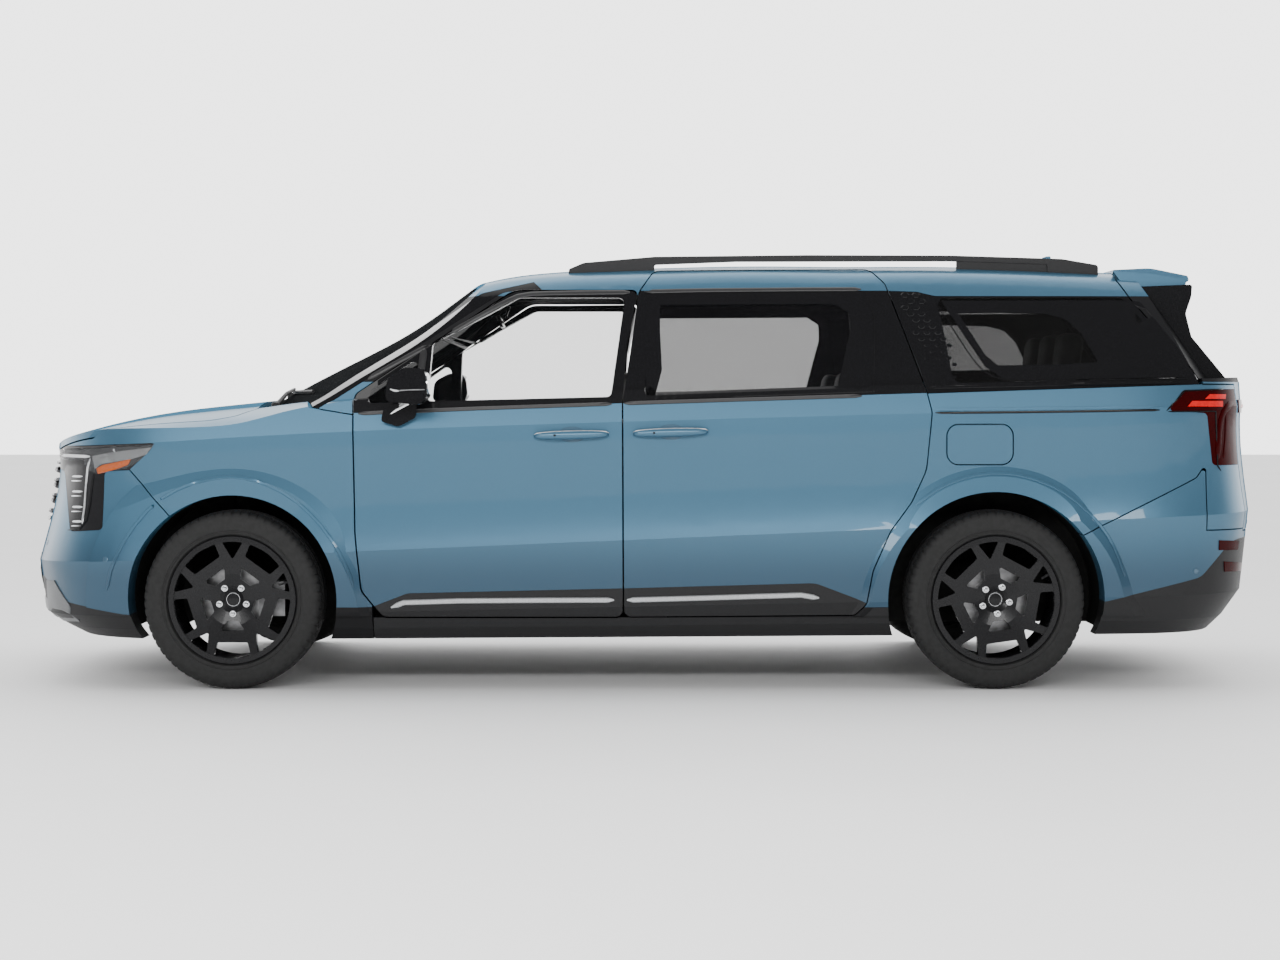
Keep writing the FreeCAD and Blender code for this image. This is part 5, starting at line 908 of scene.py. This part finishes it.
hinge = turned_mesh([(-0.004, 0.022), (0.014, 0.022), (0.022, 0.016), (0.024, 0.002)], base, (1, 0, 0.3), 20)
blade = [gate_glass(y, z) + Vector((0.010, 0, 0)) for y, z in ((0.06, 1.284), (0.22, 1.297), (0.38, 1.308))]
bars = [tube_mesh(resampled(tip, 0.03), 0.007), hinge, tube_mesh(resampled(blade, 0.03), 0.006)]
piece("rear_wiper", merged(bars), BLACK_TRIM, "tailgate")

# Mirrors
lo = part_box("mirror_left")[0]
MIRROR_TREE = tree_of(["mirror_left"])


def mirror_back(y, z):
    return cast(MIRROR_TREE, Vector((4, y, z)), Vector((-1, 0, 0)))


def mirror_side(u, v):
    return photo(u, v, MIRROR_TREE)


plate("mirror_glass", [(lo.y + 0.020, 1.200), (lo.y + 0.16, 1.190), (lo.y + 0.17, 1.270), (lo.y + 0.05, 1.282),
    (lo.y + 0.022, 1.262)], MIRROR, "front_door_left", look=mirror_back, lift=0.003, spacing=0.02, soft=1)
strip("mirror_bright_line", [(398, 390.5), (412, 389.8), (427, 389.6)], 0.006, 0.004, CHROME, "front_door_left",
    look=mirror_side, spacing=4)
strip("mirror_signal", [(390, 389), (394, 390.5), (399, 391)], 0.008, 0.005, LAMP_WHITE, "front_door_left",
    look=mirror_side, spacing=3)
plate("mirror_lower_cap", [(391, 393), (427, 391.5), (428, 404), (410, 404.5), (396, 402)], BLACK_GLOSS,
    "front_door_left", look=mirror_side, lift=0.0025, spacing=5)


# Seats
def seat_row(label, cad, x, rise, width, places, rests):
    """A row of seats: base, stitched cushions, bolsters, backrests and headrests on steel stems."""
    first = None
    for k, y in enumerate(places):
        tag = "%s_%d" % (label, k)
        base = placed(cushion_mesh((0.44, width * 0.84, 0.12), 8, 6), at(x + 0.24, y, 0.385 + rise))
        rails = [placed(cushion_mesh((0.42, 0.03, 0.03), 8, 4), at(x + 0.24, y + s * width * 0.34,
            0.335 + rise)) for s in (-1, 1)]
        stand = piece("seat_base_" + tag, merged([base] + rails), PLASTIC)
        first = first or stand
        seams = [(1, -0.56, 2), (1, 0.56, 2), (0, -0.45, 2), (0, 0.1, 2)]
        cushion = piece("seat_cushion_" + tag, placed(cushion_mesh((0.50, width * 0.98, 0.13), 5, 22, seams),
            at(x + 0.22, y, 0.462 + rise, -5)), LEATHER, "body", 60)
        seams = [(1, -0.56, 0), (1, 0.56, 0), (2, -0.45, 0), (2, 0.0, 0), (2, 0.45, 0)]
        back = piece("seat_back_" + tag, placed(cushion_mesh((0.125, width * 0.94, 0.60), 5, 22, seams),
            at(x + 0.615, y, 0.80 + rise, 17)), LEATHER, "body", 60)
        for s in (-1, 1):
            side = piece("seat_bolster_%s_%s" % (tag, "ab"[s > 0]), placed(
                cushion_mesh((0.15, 0.075, 0.50), 3.5, 12), at(x + 0.585, y + s * width * 0.44, 0.79 + rise, 17)),
                LEATHER, "body", 60)
        shell = placed(cushion_mesh((0.03, width * 0.80, 0.52), 7, 8), at(x + 0.690, y, 0.79 + rise, 17))
        piece("seat_shell_" + tag, shell, PLASTIC)
    for k, y in enumerate(rests):
        rest = piece("headrest_%s_%d" % (label, k), placed(cushion_mesh((0.10, 0.25, 0.165), 3.6, 14,
            [(2, 0.0, 0)], 0.004), at(x + 0.752, y, 1.205 + rise, 8)), LEATHER, "body", 60)
        stems = [tube_mesh([(x + 0.700, y + s * 0.055, 1.05 + rise), (x + 0.730, y + s * 0.055, 1.16 + rise)],
            0.0065) for s in (-1, 1)]
        piece("headrest_stems_%s_%d" % (label, k), merged(stems), CHROME)
    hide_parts(cad)


seat_row("front", "front_seats", -0.800, 0.0, 0.50, (-0.382, 0.382), (-0.382, 0.382))
seat_row("middle", "middle_seats", 0.130, 0.0, 0.50, (-0.382, 0.382), (-0.382, 0.382))
seat_row("rear", "rear_seat", 1.080, 0.170, 0.56, (-0.295, 0.295), (-0.40, 0.0, 0.40))

# Steering wheel and dashboard
wheel_at = Matrix.Translation((-0.745, -0.390, 0.985)) @ Matrix.Rotation(math.radians(-27), 4, "Y")
pad = placed(cushion_mesh((0.05, 0.15, 0.12), 4, 12), wheel_at @ Matrix.Translation((0.025, 0, -0.01)))
spoke = cushion_mesh((0.024, 0.10, 0.04), 4, 6)
spokes = [placed(spoke, wheel_at @ Matrix.Translation((0.012, y, 0))) for y in (-0.115, 0.115)]
piece("steering_pad", merged([pad] + spokes), PLASTIC, "steering_wheel", 50)
DASH = tree_of(["dashboard"])


def dash_rear(y, z):
    return cast(DASH, Vector((0.5, y, z)), Vector((-1, 0, 0)))


plate("dash_screen", [(-0.62, 0.985), (0.12, 0.985), (0.12, 1.085), (-0.62, 1.085)], SCREEN, look=dash_rear,
    lift=0.012, spacing=0.05, twin=False)
strip("dash_trim_line", [(0.18, 1.00), (0.45, 1.00), (0.76, 0.995)], 0.014, 0.006, SATIN, look=dash_rear,
    spacing=0.05, twin=False)
vents = []
for y in (-0.74, 0.20, 0.34, 0.70):
    for k in range(4):
        vents.append(strip_mesh([dash_rear(yy, 0.925 + 0.012 * k) for yy in (y - 0.05, y, y + 0.05)], 0.006,
            0.010, 0.002))
piece("dash_vents", merged(vents), BLACK_GLOSS)
p, n = cast(DASH, Vector((-0.45, 0.0, 2)), Vector((0, 0, -1)))
knob = placed(cushion_mesh((0.07, 0.055, 0.035), 3, 8), at(p.x, p.y, p.z + 0.016))
piece("gear_selector", merged([knob, turned_mesh([(-0.002, 0.045), (0.004, 0.045), (0.006, 0.040), (0.006, 0.02)],
    p, (0, 0, 1), 32)]), DARK_CHROME)
inner = [placed(cushion_mesh((0.02, 0.22, 0.06), 4, 8), at(-0.62, 0, 1.52, -20)),
    tube_mesh([(-0.60, 0, 1.54), (-0.58, 0, 1.60)], 0.008)]
piece("inner_mirror", merged(inner), BLACK_GLOSS)

# Camera, light and floor
SKY_SPAN, SKY_STRENGTH, FLOOR_HALF = (-0.30, 0.50), (0.40, 3.4), 40
cam_data = bpy.data.cameras.new("camera")
cam_data.sensor_width = SENSOR
cam_data.lens = SENSOR * DISTANCE / (PHOTO_WIDTH * PIXEL)
cam_data.shift_y = -(PHOTO_HEIGHT / 2 - AXIS_V) / PHOTO_WIDTH
cam = bpy.data.objects.new("camera", cam_data)
cam.location = CAMERA_AT
cam.rotation_euler = (math.radians(90), 0, 0)
bpy.context.collection.objects.link(cam)
bpy.context.scene.camera = cam

world = bpy.data.worlds.new("studio")
bpy.context.scene.world = world
world.use_nodes = True
wn, wl = world.node_tree.nodes, world.node_tree.links
place = wn.new("ShaderNodeTexCoord")
split = wn.new("ShaderNodeSeparateXYZ")
wl.new(place.outputs["Generated"], split.inputs["Vector"])
wn["Background"].inputs["Color"].default_value = (1.0, 1.0, 1.0, 1)
wl.new(ranged(wn, wl, split.outputs["Y"], SKY_SPAN, SKY_STRENGTH, smooth=True),
    wn["Background"].inputs["Strength"])


def area(name, place, target, width, height, power):
    """A rectangular light turned to a target."""
    data = bpy.data.lights.new(name, "AREA")
    data.shape = "RECTANGLE"
    data.size, data.size_y, data.energy = width, height, power
    o = bpy.data.objects.new(name, data)
    o.location = place
    o.rotation_mode = "QUATERNION"
    o.rotation_quaternion = (Vector(target) - Vector(place)).to_track_quat("-Z", "Y")
    bpy.context.collection.objects.link(o)


area("top_light", (0, -0.5, 6.5), (0, 0, 0), 9, 4, 150)
area("side_light", (-1, -7.5, 3.2), (0, 0, 0.9), 10, 0.9, 440)

corners = [(x * FLOOR_HALF, y * FLOOR_HALF, 0) for x, y in ((-1, -1), (1, -1), (1, 1), (-1, 1))]
floor = bpy.data.objects.new("floor", mesh_of("floor", corners, [(0, 1, 2, 3)]))
bpy.context.collection.objects.link(floor)
floor.data.materials.append(material("floor_white", (0.80, 0.80, 0.80), (0.83, 0.83, 0.83), 0.5, (0.6, 0.8)))
floor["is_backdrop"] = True

lo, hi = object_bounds()
